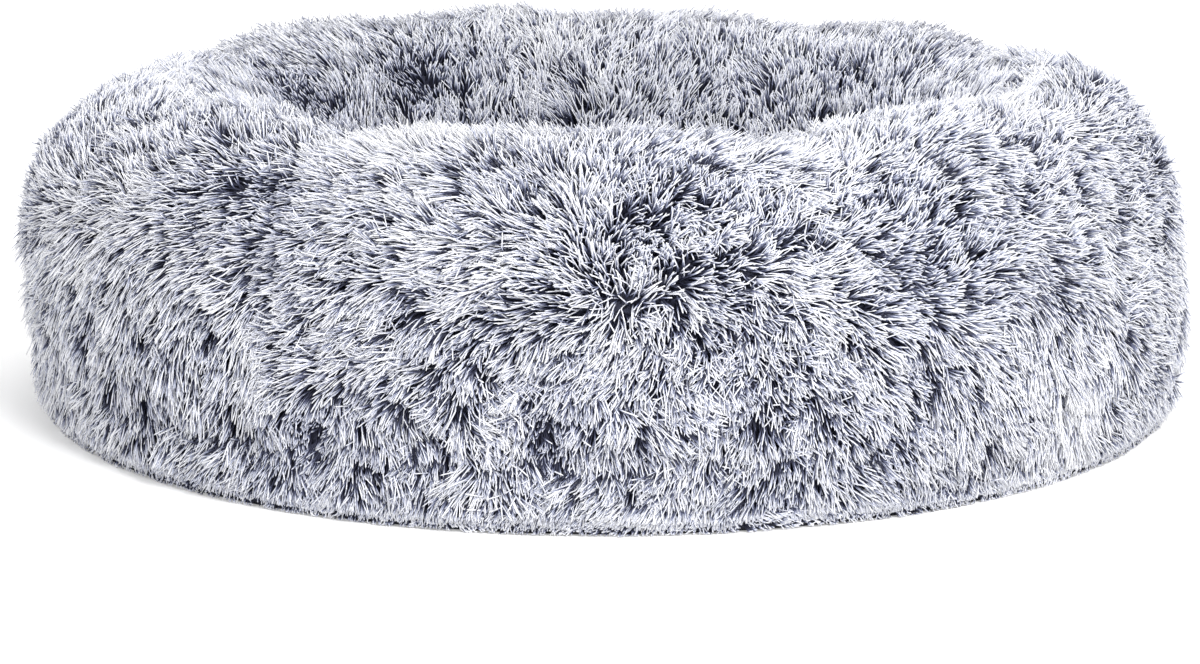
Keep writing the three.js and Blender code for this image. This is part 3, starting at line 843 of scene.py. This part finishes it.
def grow_pile(name, grid, ups, arounds, count, comb, seed):
    """Scatters strands over a grid, combs them and makes pieces of them."""
    rng = np.random.default_rng(seed)
    places = scattered(grid, count, rng)
    roots, up = between(grid, *places), between(ups, *places)
    around = between(np.broadcast_to(arounds[:, None], ups.shape), *places)
    fields = (grid_normals(grid), unit(np.gradient(grid, axis=0)), unit(np.gradient(grid, axis=1)))
    normal, along, upward = (unit(between(field, *places)) for field in fields)
    side, rise, flat, tangle = comb(roots, around, up)
    way = unit(along * side[:, None] + upward * rise[:, None])
    radius = np.hypot(roots[:, 0], roots[:, 1])
    over_around = around + np.degrees(side * COVERED_AHEAD / np.maximum(radius, COVERED_AHEAD))
    over_up = up + rise * COVERED_AHEAD / MIDDLE_ARC
    bare_and_shaded = np.zeros(count)
    painted_light = np.zeros(count)
    if comb is combed:
        # Spots where the pile parts and its strands are shorter, with painted shade darkening the
        # strands there
        bare_and_shaded = felt_at(HOLLOWS_AND_PAINTED_SHADE, over_around, over_up, radius)
        bare_and_shaded = np.maximum(bare_and_shaded, 0.7 * felt_at(HOLLOWS_AND_PAINTED_SHADE, around, up, radius))
        # Painted light: spots where the strands are made paler
        painted_light = felt_at(PAINTED_LIGHT_PLACES, over_around, over_up, radius)
    hem = in_groove(around, 1) * ramp(roots[:, 2], CLEARED_TOP, -HEM_FADE) * (up < CLEARED_UP)
    lifted = unit(way * (1 - hem)[:, None] + upward * (0.8 * hem)[:, None])
    line, lock_shade = strand_lines(roots, normal, lifted, flat, bare_and_shaded, tangle, around, rng)
    points = strand_arrays(line, normal, rng)
    tint = strand_tint(roots, around, up, bare_and_shaded, painted_light, lock_shade, rng)
    total = math.ceil(count / STRANDS_PER_PIECE)
    order = np.argsort(np.round(around if total > 2 else roots[:, 0], 4), kind="stable")
    for part, chosen in enumerate(np.array_split(order, total)):
        pile_piece(f"{name}_{part + 1}", points[chosen], tint[chosen])


def strand_tint(roots, around, up, bare_and_shaded, painted_light, lock_shade, rng):
    """Which tint column each strand has: dark ones low, pale ones high, with painted light and painted
    shade added in places.
    """
    shade = 0.42 + 0.11 * smooth_noise(roots, SHADE_SIZE, 51)
    shade = shade + 0.06 * smooth_noise(roots, SHADE_DRIFT_SIZE, 52)
    # The lock's own random tone, and a painted highlight along the crest
    shade = shade + 0.36 * lock_shade + 0.06 * bell(up, *PAINTED_CREST_LIGHT_UPS)
    # Painted light on the crest at the rear, in place of light from behind
    backness = np.clip(-np.cos(np.radians(around)), 0, 1)
    shade = shade + 0.22 * backness * bell(up, *PAINTED_REAR_LIGHT_UPS)
    # Painted shade on the right side and painted light on the left, then painted shade over the hollows
    shade = shade - 0.03 * np.sin(np.radians(around)) - 0.42 * bare_and_shaded
    # Painted shade low down by the floor, and painted light in the pale places
    shade = shade - 0.05 * ramp(roots[:, 2], PAINTED_SHADE_TOP, -HEM_FADE) + 0.12 * painted_light
    dark = rng.random(len(roots)) < DARK_SHARE * (1 - 0.6 * np.clip(painted_light, 0, 1))
    shade = shade + rng.normal(0, 0.08, len(roots)) - 0.47 * dark
    return np.clip(np.floor(shade * TINT_COLUMNS), 0, TINT_COLUMNS - 1)


# Materials
def new_material(name):
    material = bpy.data.materials.new(name)
    material.use_nodes = True
    tree = material.node_tree
    return material, tree, tree.nodes["Principled BSDF"]


def set_inputs(tree, node, inputs):
    """Gives inputs of a node, by name or number, their values or the outputs they follow."""
    for key, value in inputs.items():
        if isinstance(value, bpy.types.NodeSocket):
            tree.links.new(value, node.inputs[key])
        else:
            node.inputs[key].default_value = value


def add_node(tree, kind, inputs=None, **settings):
    """Adds a node and gives back its outputs."""
    node = tree.nodes.new("ShaderNode" + kind)
    for key, value in settings.items():
        setattr(node, key, value)
    set_inputs(tree, node, inputs or {})
    return node.outputs


def math_node(tree, operation, *values):
    return add_node(tree, "Math", dict(enumerate(values)), operation=operation)[0]


def object_noise(tree, scale, detail, stretch=(1, 1, 1)):
    """Noise fixed to the object, drawn out by a stretch."""
    place = add_node(tree, "TexCoord")["Object"]
    if stretch != (1, 1, 1):
        place = add_node(tree, "Mapping", {0: place, "Scale": stretch})[0]
    return add_node(tree, "TexNoise", {0: place, "Scale": scale, "Detail": detail})[0]


def relief(tree, height, strength, depth):
    return add_node(tree, "Bump", {"Height": height, "Strength": strength, "Distance": depth})[0]


def colour_ramp(tree, factor, stops):
    ramp = tree.nodes.new("ShaderNodeValToRGB")
    elements = ramp.color_ramp.elements
    while len(elements) < len(stops):
        elements.new(0.5)
    for element, (place, colour) in zip(elements, stops):
        element.position = place
        element.color = (*colour, 1)
    tree.links.new(factor, ramp.inputs[0])
    return ramp.outputs[0]


def pile_material():
    """Slate blue at the roots, lavender grey, then near white at the tips, by tint column."""
    material, tree, shader = new_material("fur_pile")
    place = add_node(tree, "UVMap", uv_map="OFBake")[0]
    across, along = add_node(tree, "SeparateXYZ", {0: place})[:2]
    tint = math_node(tree, "FLOOR", math_node(tree, "MULTIPLY", across, TINT_COLUMNS))
    tint = math_node(tree, "DIVIDE", tint, TINT_COLUMNS)
    drawn_out = add_node(tree, "Mapping", {0: place, "Scale": (TINT_COLUMNS * 5, 7, 1)})[0]
    noise = {0: drawn_out, "Scale": 1, "Detail": 2}
    streak = add_node(tree, "TexNoise", noise, noise_dimensions="2D")[0]
    for value, share in ((tint, TINT_SHARE), (streak, STREAK_SHARE)):
        centred = math_node(tree, "SUBTRACT", value, 0.5)
        along = math_node(tree, "ADD", along, math_node(tree, "MULTIPLY", centred, share))
    colour = colour_ramp(tree, along, PILE_COLOURS)
    set_inputs(tree, shader, {"Base Color": colour, "Roughness": 0.6, "Specular IOR Level": 0.35})
    return material


def mottled_material(name, colours, places, noise, bump, roughness, sheen=0):
    """A surface that wanders between two colours and is finely uneven."""
    material, tree, shader = new_material(name)
    mottle = object_noise(tree, *noise)
    inputs = {
        "Base Color": colour_ramp(tree, mottle, list(zip(places, colours))),
        "Normal": relief(tree, mottle, *bump),
        "Roughness": roughness,
        "Sheen Weight": sheen,
    }
    set_inputs(tree, shader, inputs)
    return material


def plain_material(name, colours, roughness, scale):
    """Moulded rubber or plastic with a faintly uneven surface."""
    return mottled_material(name, colours, (0.35, 0.7), (scale, 4), (0.25, 0.0002), roughness)


def fabric_material(name, colours, threads, roughness=0.85):
    """A plain weave of two shades, threads across one metre."""
    material, tree, shader = new_material(name)
    place = add_node(tree, "TexCoord")["Object"]
    wave = {0: place, "Scale": threads * math.pi / 10, "Distortion": 0.6, "Detail": 1}
    bands = [
        add_node(tree, "TexWave", wave, wave_type="BANDS", bands_direction=way)["Fac"]
        for way in ("X", "Y", "Z")
    ]
    crossed = math_node(tree, "MULTIPLY", bands[0], bands[1])
    woven = math_node(tree, "ADD", crossed, math_node(tree, "MULTIPLY", bands[2], 0.3))
    worn = math_node(tree, "MULTIPLY", woven, object_noise(tree, 18, 2))
    inputs = {
        "Base Color": colour_ramp(tree, worn, list(zip((0, 0.6), colours))),
        "Normal": relief(tree, woven, 0.5, 0.0004),
        "Roughness": roughness,
    }
    set_inputs(tree, shader, inputs)
    return material


def brushed_metal():
    """Zinc alloy with fine brushing and a little wear."""
    material, tree, shader = new_material("brushed_zinc")
    brushing = object_noise(tree, 1, 3, (250, 250, 6000))
    rough = math_node(tree, "MULTIPLY", brushing, 0.25)
    inputs = {
        "Base Color": colour_ramp(tree, brushing, list(zip(MOTTLE_PLACES, METAL_COLOURS))),
        "Roughness": math_node(tree, "ADD", rough, 0.22),
        "Normal": relief(tree, brushing, 0.15, 0.0001),
        "Metallic": 1,
    }
    set_inputs(tree, shader, inputs)
    return material


BACKING_COLOURS = ((0.012, 0.013, 0.026), (0.040, 0.044, 0.075))
FIBRE_COLOURS = ((0.74, 0.74, 0.72), (0.90, 0.90, 0.88))
METAL_COLOURS = ((0.40, 0.41, 0.43), (0.66, 0.67, 0.69))
MOTTLE_PLACES = (0.3, 0.7)

pile = pile_material()
backing = mottled_material("fur_backing", BACKING_COLOURS, MOTTLE_PLACES, (700, 3), (0.4, 0.0006), 0.95)

# The cover and its pile
reach = cover_reach()
start_skin = grid_points(reach, PILE_DEPTH + SWELL_START_INSET)
at_well_seam = np.abs(UPS - (WELL_SEAM_UP - 360)) < SEWN_UP_REACH
skin = swollen(start_skin, (start_skin[..., 2] < SEWN_BELOW) | at_well_seam)

for index, place in enumerate(PANEL_PLACES):
    first_turn = FIRST_SEAM + index * PANEL_TURN
    panel_arounds, panel_ups, panel = panel_grid(skin, first_turn)
    points, faces = shell(panel, BACKING_THICKNESS)
    node = f"bolster_fur_panel_{place}"
    cover = new_piece(f"fur_cover_{place}", points, faces, backing, node)
    count = STRANDS_PER_PANEL[place]
    grow_pile(f"pile_{place}", panel, panel_ups, panel_arounds, count, combed, 100 + index)


def cushion_grid():
    """The cushion cover's top as a grid of spokes and rings from the rim in, laid on its solid."""
    tree = solids_tree(["cushion_fur_panel"])
    arounds = np.linspace(0, 360, CUSHION_SPOKES + 1)
    radii = CUSHION_RADIUS * np.sqrt(np.linspace(0.0004, 1, CUSHION_RINGS))
    grid = np.empty((len(arounds), CUSHION_RINGS, 3))
    for column, around in enumerate(arounds):
        for row, radius in enumerate(radii):
            spot = spoke(around) * radius
            spot.z = ABOVE_CUSHION
            hit = tree.ray_cast(spot, Vector((0, 0, -1)))[0]
            grid[column, row] = (spot.x, spot.y, hit.z - PILE_DEPTH)
    heights = grid[..., 2]
    for _ in range(4):
        heights[:, 1:-1] = (heights[:, :-2] + 2 * heights[:, 1:-1] + heights[:, 2:]) / 4
    return arounds, radii[::-1], grid[:, ::-1]


cushion_arounds, cushion_radii, cushion = cushion_grid()
points, faces = shell(cushion, BACKING_THICKNESS)
cover = new_piece("fur_cover_cushion", points, faces, backing, "cushion_fur_panel")
cushion_ups = np.broadcast_to(cushion_radii, cushion.shape[:2])
grow_pile(
    "pile_cushion", cushion, cushion_ups, cushion_arounds, STRANDS_ON_CUSHION, combed_cushion, 200
)


# Pads
def pad_grid(names, section, ups, floor, skin_reach=np.inf):
    """Outside of a pad's solid, seen from its section's middle, kept under the cover's skin."""
    ring_radius, ring_height, half_width, rise = section
    arounds = (np.arange(PAD_COLUMNS) + 0.5) * 360 / PAD_COLUMNS
    angles = np.radians(ups)
    lengths = np.hypot(half_width * np.cos(angles), rise * np.sin(angles))
    reach = reaches_from_outside(names, section, arounds, ups)
    reach = np.where(reach < 0, np.nan, reach) - PAD_GAP / lengths
    for line in reach:
        missed = np.isnan(line)
        line[missed] = np.interp(ups[missed], ups[~missed], line[~missed])
    reach = blurred(np.minimum(reach, skin_reach - PAD_CLEARANCE / lengths), 1, 0)
    reach = np.minimum(reach, (ring_height - floor) / (rise * np.maximum(-np.sin(angles), TINY)))
    radius = ring_radius + reach * half_width * np.cos(angles)
    height = ring_height + reach * rise * np.sin(angles)
    return arounds, round_axis(radius, np.radians(arounds)[:, None], height)


def skin_reach_at(skin, ups):
    """Least reach of the cover's finer grid at each ray of a pad, as a share of the section."""
    out = (np.hypot(skin[..., 0], skin[..., 1]) - RING_RADIUS) / RING_HALF_WIDTH
    rise = (skin[..., 2] - RING_HEIGHT) / RING_RISE
    turns, reach = np.degrees(np.arctan2(rise, out)), np.hypot(out, rise)
    lines = [np.interp(ups, *line, period=360) for line in zip(turns, reach)]
    return np.reshape(lines, (PAD_COLUMNS, -1, len(ups))).min(axis=1)


def lumpiness(grid, size, seed):
    """How deep the lumps of a pad lie at each point, from 0 to 1."""
    return 0.5 - 0.5 * smooth_noise(grid.reshape(-1, 3), size, seed).reshape(grid.shape[:2])


def pinched(grid, arounds, seam_row, seed):
    """Draws a liner's cloth in beside its seam, with puckers, and leaves it lumpy elsewhere."""
    away = np.linalg.norm(grid - grid[:, seam_row, None], axis=-1)
    puckers = 0.55 + 0.45 * np.sin(np.radians(arounds) * PUCKERS)
    near = np.exp(-((away / SEAM_PINCH_REACH) ** 2))
    depth = SEAM_PINCH * near * puckers[:, None]
    resting = grid[..., 2] < PAD_FLOOR + RESTING_REACH
    lumps = np.where(resting, 0, LUMP_DEPTH * lumpiness(grid, LUMP_SIZE, seed))
    return grid - grid_normals(grid, True) * (depth + lumps * (1 - near))[..., None]


def add_liner_half(node, grid, arounds, seam_row, capped=(), seed=61):
    """One half of a pad's cotton liner, with the seam along one of its rows."""
    points, faces = shell(pinched(grid, arounds, seam_row, seed), LINER_THICKNESS, True, capped)
    liner = new_piece(f"pad_{node}", points, faces, cotton, node)


def add_fibre_fill(node, grid, closed_section, seed):
    """The loose fibre inside a liner: one lumpy closed form."""
    depth = LUMP_DEPTH * lumpiness(grid, LUMP_SIZE / 2, seed)
    grid = grid - grid_normals(grid, True) * depth[..., None]
    columns, rows = grid.shape[:2]
    faces = [*grid_quads(columns, rows, closes_rows=closed_section)]
    if not closed_section:
        rim = np.arange(columns) * rows
        faces += [rim[::-1], rim + rows - 1]
    filling = new_piece(f"pad_{node}", grid, faces, fibre, node)


def add_bolster_pad():
    halves = {"upper": np.linspace(0, 180, PAD_ROWS), "lower": np.linspace(180, 360, PAD_ROWS)}
    nodes = [f"bolster_liner_{half}" for half in halves]
    for node, ups in zip(nodes, halves.values()):
        arounds, grid = pad_grid(nodes, RING_SECTION, ups, PAD_FLOOR, skin_reach_at(skin, ups))
        add_liner_half(node, grid, arounds, 0)
    whole = np.arange(2 * PAD_ROWS) * 180 / PAD_ROWS
    inside = LINER_THICKNESS + FILL_GAP + SEAM_PINCH
    reach = skin_reach_at(skin, whole) - inside / RING_HALF_WIDTH
    _, grid = pad_grid(["bolster_fill"], RING_SECTION, whole, PAD_FLOOR + inside, reach)
    add_fibre_fill("bolster_fill", grid, True, 71)


def add_cushion_pad():
    last = PAD_ROWS // 2 - 1
    nodes = ["cushion_liner_top", "cushion_liner_bottom"]
    ends = ((0, PAD_END_UP), (-PAD_END_UP, 0))
    for node, (start, end), seam, middle, seed in zip(nodes, ends, (0, last), (last, 0), (62, 63)):
        ups = np.linspace(start, end, PAD_ROWS // 2)
        arounds, grid = pad_grid(nodes, CUSHION_SECTION, ups, PAD_FLOOR)
        add_liner_half(node, grid, arounds, seam, (middle,), seed)
    whole = np.linspace(-PAD_END_UP, PAD_END_UP, PAD_ROWS)
    floor = PAD_FLOOR + LINER_THICKNESS + FILL_GAP
    _, grid = pad_grid(["cushion_fill"], CUSHION_SECTION, whole, floor)
    add_fibre_fill("cushion_fill", grid, False, 72)


# Base and zipper
def swept_loop(section, arounds, closes):
    """A flat loop of (radius, height) points carried round the axis; open ends get lids."""
    radius, height = np.asarray(section).T
    points = round_axis(radius, np.radians(arounds)[:, None], height)
    columns, rows = points.shape[:2]
    return points, grid_quads(columns, rows) if closes else tube_faces(columns, rows)


def rounded_strip(inner, outer, low, high, corner):
    """Section of a flat woven strip with rounded edges, wound so that its faces look outwards."""
    points = []
    corners = [(outer, low, -90), (outer, high, 0), (inner, high, 90), (inner, low, 180)]
    for radius, height, start in corners:
        centre_radius = radius - corner if radius == outer else radius + corner
        centre_height = height + corner if height == low else height - corner
        for turn in (start, start + 45, start + 90):
            across = corner * math.cos(math.radians(turn))
            rise = corner * math.sin(math.radians(turn))
            points.append((centre_radius + across, centre_height + rise))
    return points


def add_base():
    """The woven base with its grip dots, and the band that joins it to the fur."""
    turn = np.radians(np.arange(BASE_COLUMNS) * 360 / BASE_COLUMNS)[:, None]
    radii = BASE_RADIUS * np.sqrt(np.linspace(0.002, 1, BASE_RINGS))
    radii[-1] = BASE_RADIUS - BASE_EDGE_GAP
    grid = round_axis(radii[::-1], turn, BASE_THICKNESS)
    points, faces = shell(grid, BASE_THICKNESS - DOT_HEIGHT, True, (BASE_RINGS - 1,))
    panel = new_piece("base_cloth", points, faces, canvas, "base_panel")
    add_grip_dots()
    section = rounded_strip(BAND_INNER, BASE_RADIUS, BAND_LOW, BAND_HIGH, BAND_CORNER)
    points, faces = swept_loop(section, np.arange(BAND_COLUMNS) * 360 / BAND_COLUMNS, True)
    new_piece("rim_band_cloth", points, faces, webbing, "base_rim_band")
    add_stitches("rim_band_stitches", BASE_RADIUS, BAND_HIGH - BAND_HEM, 0, 360)


def add_grip_dots():
    """Low rubber domes printed under the base in a staggered pattern."""
    row_pitch = DOT_PITCH * math.sqrt(3) / 2
    rows = int(BASE_RADIUS / row_pitch)
    row, column = np.mgrid[-rows : rows + 1, -rows - 4 : rows + 5]
    x = column * DOT_PITCH + DOT_PITCH / 2 * (row % 2)
    y = row * row_pitch
    kept = np.hypot(x, y) <= BASE_RADIUS - DOT_EDGE_SHARE * DOT_RADIUS
    radius = DOT_RADIUS * np.array([[1], [DOT_TOP_SHARE]])
    height = np.array([[DOT_HEIGHT + DOT_SINK], [0]])
    dome = round_axis(radius, np.radians(90 + 45 * np.arange(DOT_SIDES)), height)
    spots = np.stack([x, y, np.zeros_like(x)], axis=-1)[kept]
    faces = repeated(tube_faces(2, DOT_SIDES), len(spots), 2 * DOT_SIDES)
    new_piece("grip_dots", spots[:, None, None] + dome, faces, rubber)


def add_stitches(name, radius, height, start, end):
    """A line of sewn stitches round the axis: short threads that dip into the cloth."""
    step = math.degrees(STITCH_PITCH / radius)
    half = math.degrees(STITCH_LENGTH / 2 / radius)
    middles = np.arange(start + step, end - step / 2, step)[:, None, None]
    turn = np.radians(middles + np.array(STITCH_PLACES)[:, None] * half)
    corner = np.radians(45 + 90 * np.arange(STITCH_SIDES))
    reach = radius + STITCH_RADIUS * (np.array(STITCH_LIFTS)[:, None] + PLUMPNESS * np.cos(corner))
    points = round_axis(reach, turn, height + STITCH_RADIUS * PLUMPNESS * np.sin(corner))
    one = tube_faces(len(STITCH_PLACES), STITCH_SIDES)
    faces = repeated(one, len(middles), len(STITCH_PLACES) * STITCH_SIDES)
    new_piece(name, points, faces, thread)


def zipper_strip(name, low, high, start, end, columns, material, node=None):
    """A thin strip along the zipper's arc, between two heights and two turns."""
    half = TAPE_THICKNESS / 2
    section = rounded_strip(ZIPPER_RADIUS - half, ZIPPER_RADIUS + half, low, high, TAPE_CORNER)
    points, faces = swept_loop(section, np.linspace(start, end, columns), False)
    new_piece(name, points, faces, material, node)


def add_tapes():
    """The two woven tapes, each with a line of stitches."""
    margin = math.degrees(TAPE_END / ZIPPER_RADIUS)
    start, end = ZIPPER_START - margin, ZIPPER_END + margin
    for place, (low, high) in TAPES.items():
        node = f"zipper_tape_{place}"
        name = f"tape_{place}_cloth"
        zipper_strip(name, low, high, start, end, TAPE_COLUMNS, webbing_fine, node)
    for place, height in STITCH_HEIGHTS.items():
        radius = ZIPPER_RADIUS + TAPE_THICKNESS / 2
        add_stitches(f"tape_stitches_{place}", radius, height, ZIPPER_START, ZIPPER_END)


def add_gussets():
    """A strip of band weave that closes the cover past each end of the zipper."""
    past_tape = math.degrees((TAPE_END + GUSSET_GAP) / ZIPPER_RADIUS)
    spans = {
        "start": (GROOVE_START - GROOVE_EASE / 2, ZIPPER_START - past_tape),
        "end": (ZIPPER_END + past_tape, GROOVE_END + GROOVE_EASE / 2),
    }
    low, high = TAPES["lower"][0], TAPES["upper"][1]
    for place, (start, end) in spans.items():
        name = f"zipper_{place}_gusset"
        zipper_strip(name, low, high, start, end, GUSSET_COLUMNS, webbing)


def add_coil(place, phase):
    """One row of the zipper's coil: a wound nylon wire, turn after turn along the arc."""
    low, high = COILS[place]
    arc = math.radians(ZIPPER_END - ZIPPER_START)
    turns = int(arc * ZIPPER_RADIUS / COIL_PITCH)
    steps = turns * COIL_TURN_STEPS
    share = np.linspace(0, 1, steps + 1)
    wound = 2 * math.pi * (share * turns + phase)
    along = math.radians(ZIPPER_START) + share * arc
    margin = COIL_WIRE / ZIPPER_RADIUS
    along = np.clip(along, along[0] + margin, along[-1] - margin)
    reach = ZIPPER_RADIUS + (COIL_DEPTH / 2 - COIL_WIRE) * np.cos(wound)
    height = (low + high) / 2 + ((high - low) / 2 - COIL_WIRE) * np.sin(wound)
    line = round_axis(reach, along, height)
    forward = unit(np.gradient(line, axis=0))
    first = unit(np.cross(forward, unit(round_axis(1, along, 0))))
    second = np.cross(first, forward)
    rings = [
        line + COIL_WIRE * turned_from(first, second, turn)
        for turn in 2 * math.pi * np.arange(COIL_WIRE_SIDES) / COIL_WIRE_SIDES
    ]
    *sides, start_lid, end_lid = tube_faces(steps + 1, COIL_WIRE_SIDES)
    faces = [*np.array(sides)[:, [0, 3, 2, 1]], start_lid[::-1], end_lid[::-1]]
    new_piece(f"coil_{place}_wound", np.stack(rings, 1), faces, nylon, f"zipper_coil_{place}")


def add_label():
    """The blank care label: a woven satin strip, sewn in at its top and curling a little below."""
    half = math.degrees(LABEL_WIDTH / 2 / LABEL_RADIUS)
    turn = np.radians(np.linspace(LABEL_AROUND - half, LABEL_AROUND + half, LABEL_COLUMNS))[:, None]
    heights = np.linspace(LABEL_LOW, LABEL_HIGH, LABEL_ROWS)
    fallen = (LABEL_HIGH - heights) / (LABEL_HIGH - LABEL_LOW)
    curl = LABEL_CURL * fallen**2 * (0.6 + 0.4 * np.cos(turn * LABEL_WAVES))
    points, faces = shell(round_axis(LABEL_RADIUS + curl, turn, heights), LABEL_THICKNESS)
    label = new_piece("care_label_cloth", points, faces, satin, "care_label")


cotton = fabric_material("liner_cotton", ((0.62, 0.61, 0.58), (0.84, 0.83, 0.80)), 1400)
fibre = mottled_material("polyester_fibre", FIBRE_COLOURS, MOTTLE_PLACES, (60, 6), (0.6, 0.002), 1, 0.3)
canvas = fabric_material("base_weave", ((0.020, 0.021, 0.030), (0.062, 0.066, 0.088)), 900)
webbing = fabric_material("band_weave", ((0.022, 0.024, 0.034), (0.070, 0.075, 0.100)), 1300)
webbing_fine = fabric_material("tape_weave", ((0.026, 0.028, 0.040), (0.080, 0.086, 0.115)), 2200)
satin = fabric_material("label_satin", ((0.72, 0.71, 0.68), (0.90, 0.89, 0.86)), 2600, 0.5)
thread = fabric_material("sewing_thread", ((0.05, 0.055, 0.075), (0.12, 0.13, 0.17)), 3000)
rubber = plain_material("grip_rubber", ((0.028, 0.029, 0.034), (0.050, 0.051, 0.058)), 0.6, 120)
nylon = plain_material("zipper_nylon", ((0.030, 0.032, 0.042), (0.060, 0.063, 0.080)), 0.35, 400)
metal = brushed_metal()

add_bolster_pad()
add_cushion_pad()
add_base()
add_tapes()
add_coil("lower", 0)
add_coil("upper", 0.5)
add_gussets()
add_label()

METAL_NODES = ("top_stop_lower", "top_stop_upper", "bottom_stop", "slider", "pull")
for name in METAL_NODES:
    for slot_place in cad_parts[f"zipper_{name}"].material_slots:
        slot_place.material = metal


# Camera, floor, backdrop and lamps
def floor_material():
    """Pale floor that keeps shadows, and shows the camera white where there is none."""
    material, tree, shader = new_material("floor")
    set_inputs(tree, shader, {"Base Color": (0.92, 0.92, 0.92, 1), "Roughness": 1})
    place = add_node(tree, "TexCoord")["Object"]
    span = {
        "Value": add_node(tree, "VectorMath", {0: place}, operation="LENGTH")["Value"],
        "From Min": FLOOR_FADE_START,
        "From Max": FLOOR_FADE_END,
        "To Min": FLOOR_GLOW,
        "To Max": 1,
    }
    fading = add_node(tree, "MapRange", span, interpolation_type="SMOOTHSTEP")[0]
    seen = add_node(tree, "LightPath")["Is Camera Ray"]
    strength = math_node(tree, "MULTIPLY", seen, fading)
    glow = add_node(tree, "Emission", {"Color": (1, 1, 1, 1), "Strength": strength})[0]
    both = add_node(tree, "AddShader", {0: shader.outputs[0], 1: glow})[0]
    set_inputs(tree, tree.nodes["Material Output"], {"Surface": both})
    return material


def add_floor():
    corners = [(x * FLOOR_REACH, y * FLOOR_REACH, 0) for x, y in ((-1, -1), (1, -1), (1, 1), (-1, 1))]
    mesh = new_mesh("floor", corners, [range(4)])
    mesh.materials.append(floor_material())
    new_object("floor", mesh)


def add_world():
    """White all round: lighting by one share, and seen directly at its full strength."""
    world = bpy.data.worlds.new("world")
    bpy.context.scene.world = world
    world.use_nodes = True
    tree = world.node_tree
    rays = add_node(tree, "LightPath")
    seen = rays["Is Camera Ray"]
    for ray in ("Is Glossy Ray", "Is Transmission Ray"):
        seen = math_node(tree, "MAXIMUM", seen, rays[ray])
    lit = math_node(tree, "MULTIPLY", seen, 1 - SKY_SHARE)
    strength = math_node(tree, "ADD", lit, SKY_SHARE)
    set_inputs(tree, tree.nodes["Background"], {"Color": (1, 1, 1, 1), "Strength": strength})


def aim(thing, place, target):
    thing.location = place
    way = Vector(target) - thing.location
    thing.rotation_euler = way.to_track_quat("-Z", "Y").to_euler()


def add_lamp(name, place, size, power):
    data = bpy.data.lights.new(name, "AREA")
    data.shape = "DISK"
    data.size = size
    data.energy = power
    aim(new_object(name, data), place, LAMP_TARGET)


def add_camera():
    data = bpy.data.cameras.new("camera")
    data.sensor_width = 36
    data.lens = LENS
    data.shift_x = CAMERA_SHIFT
    camera = new_object("camera", data)
    aim(camera, CAMERA_PLACE, CAMERA_TARGET)
    bpy.context.scene.camera = camera


add_camera()
add_floor()
add_world()
for lamp in LAMPS:
    add_lamp(*lamp)
bpy.context.scene.view_settings.view_transform = "Standard"
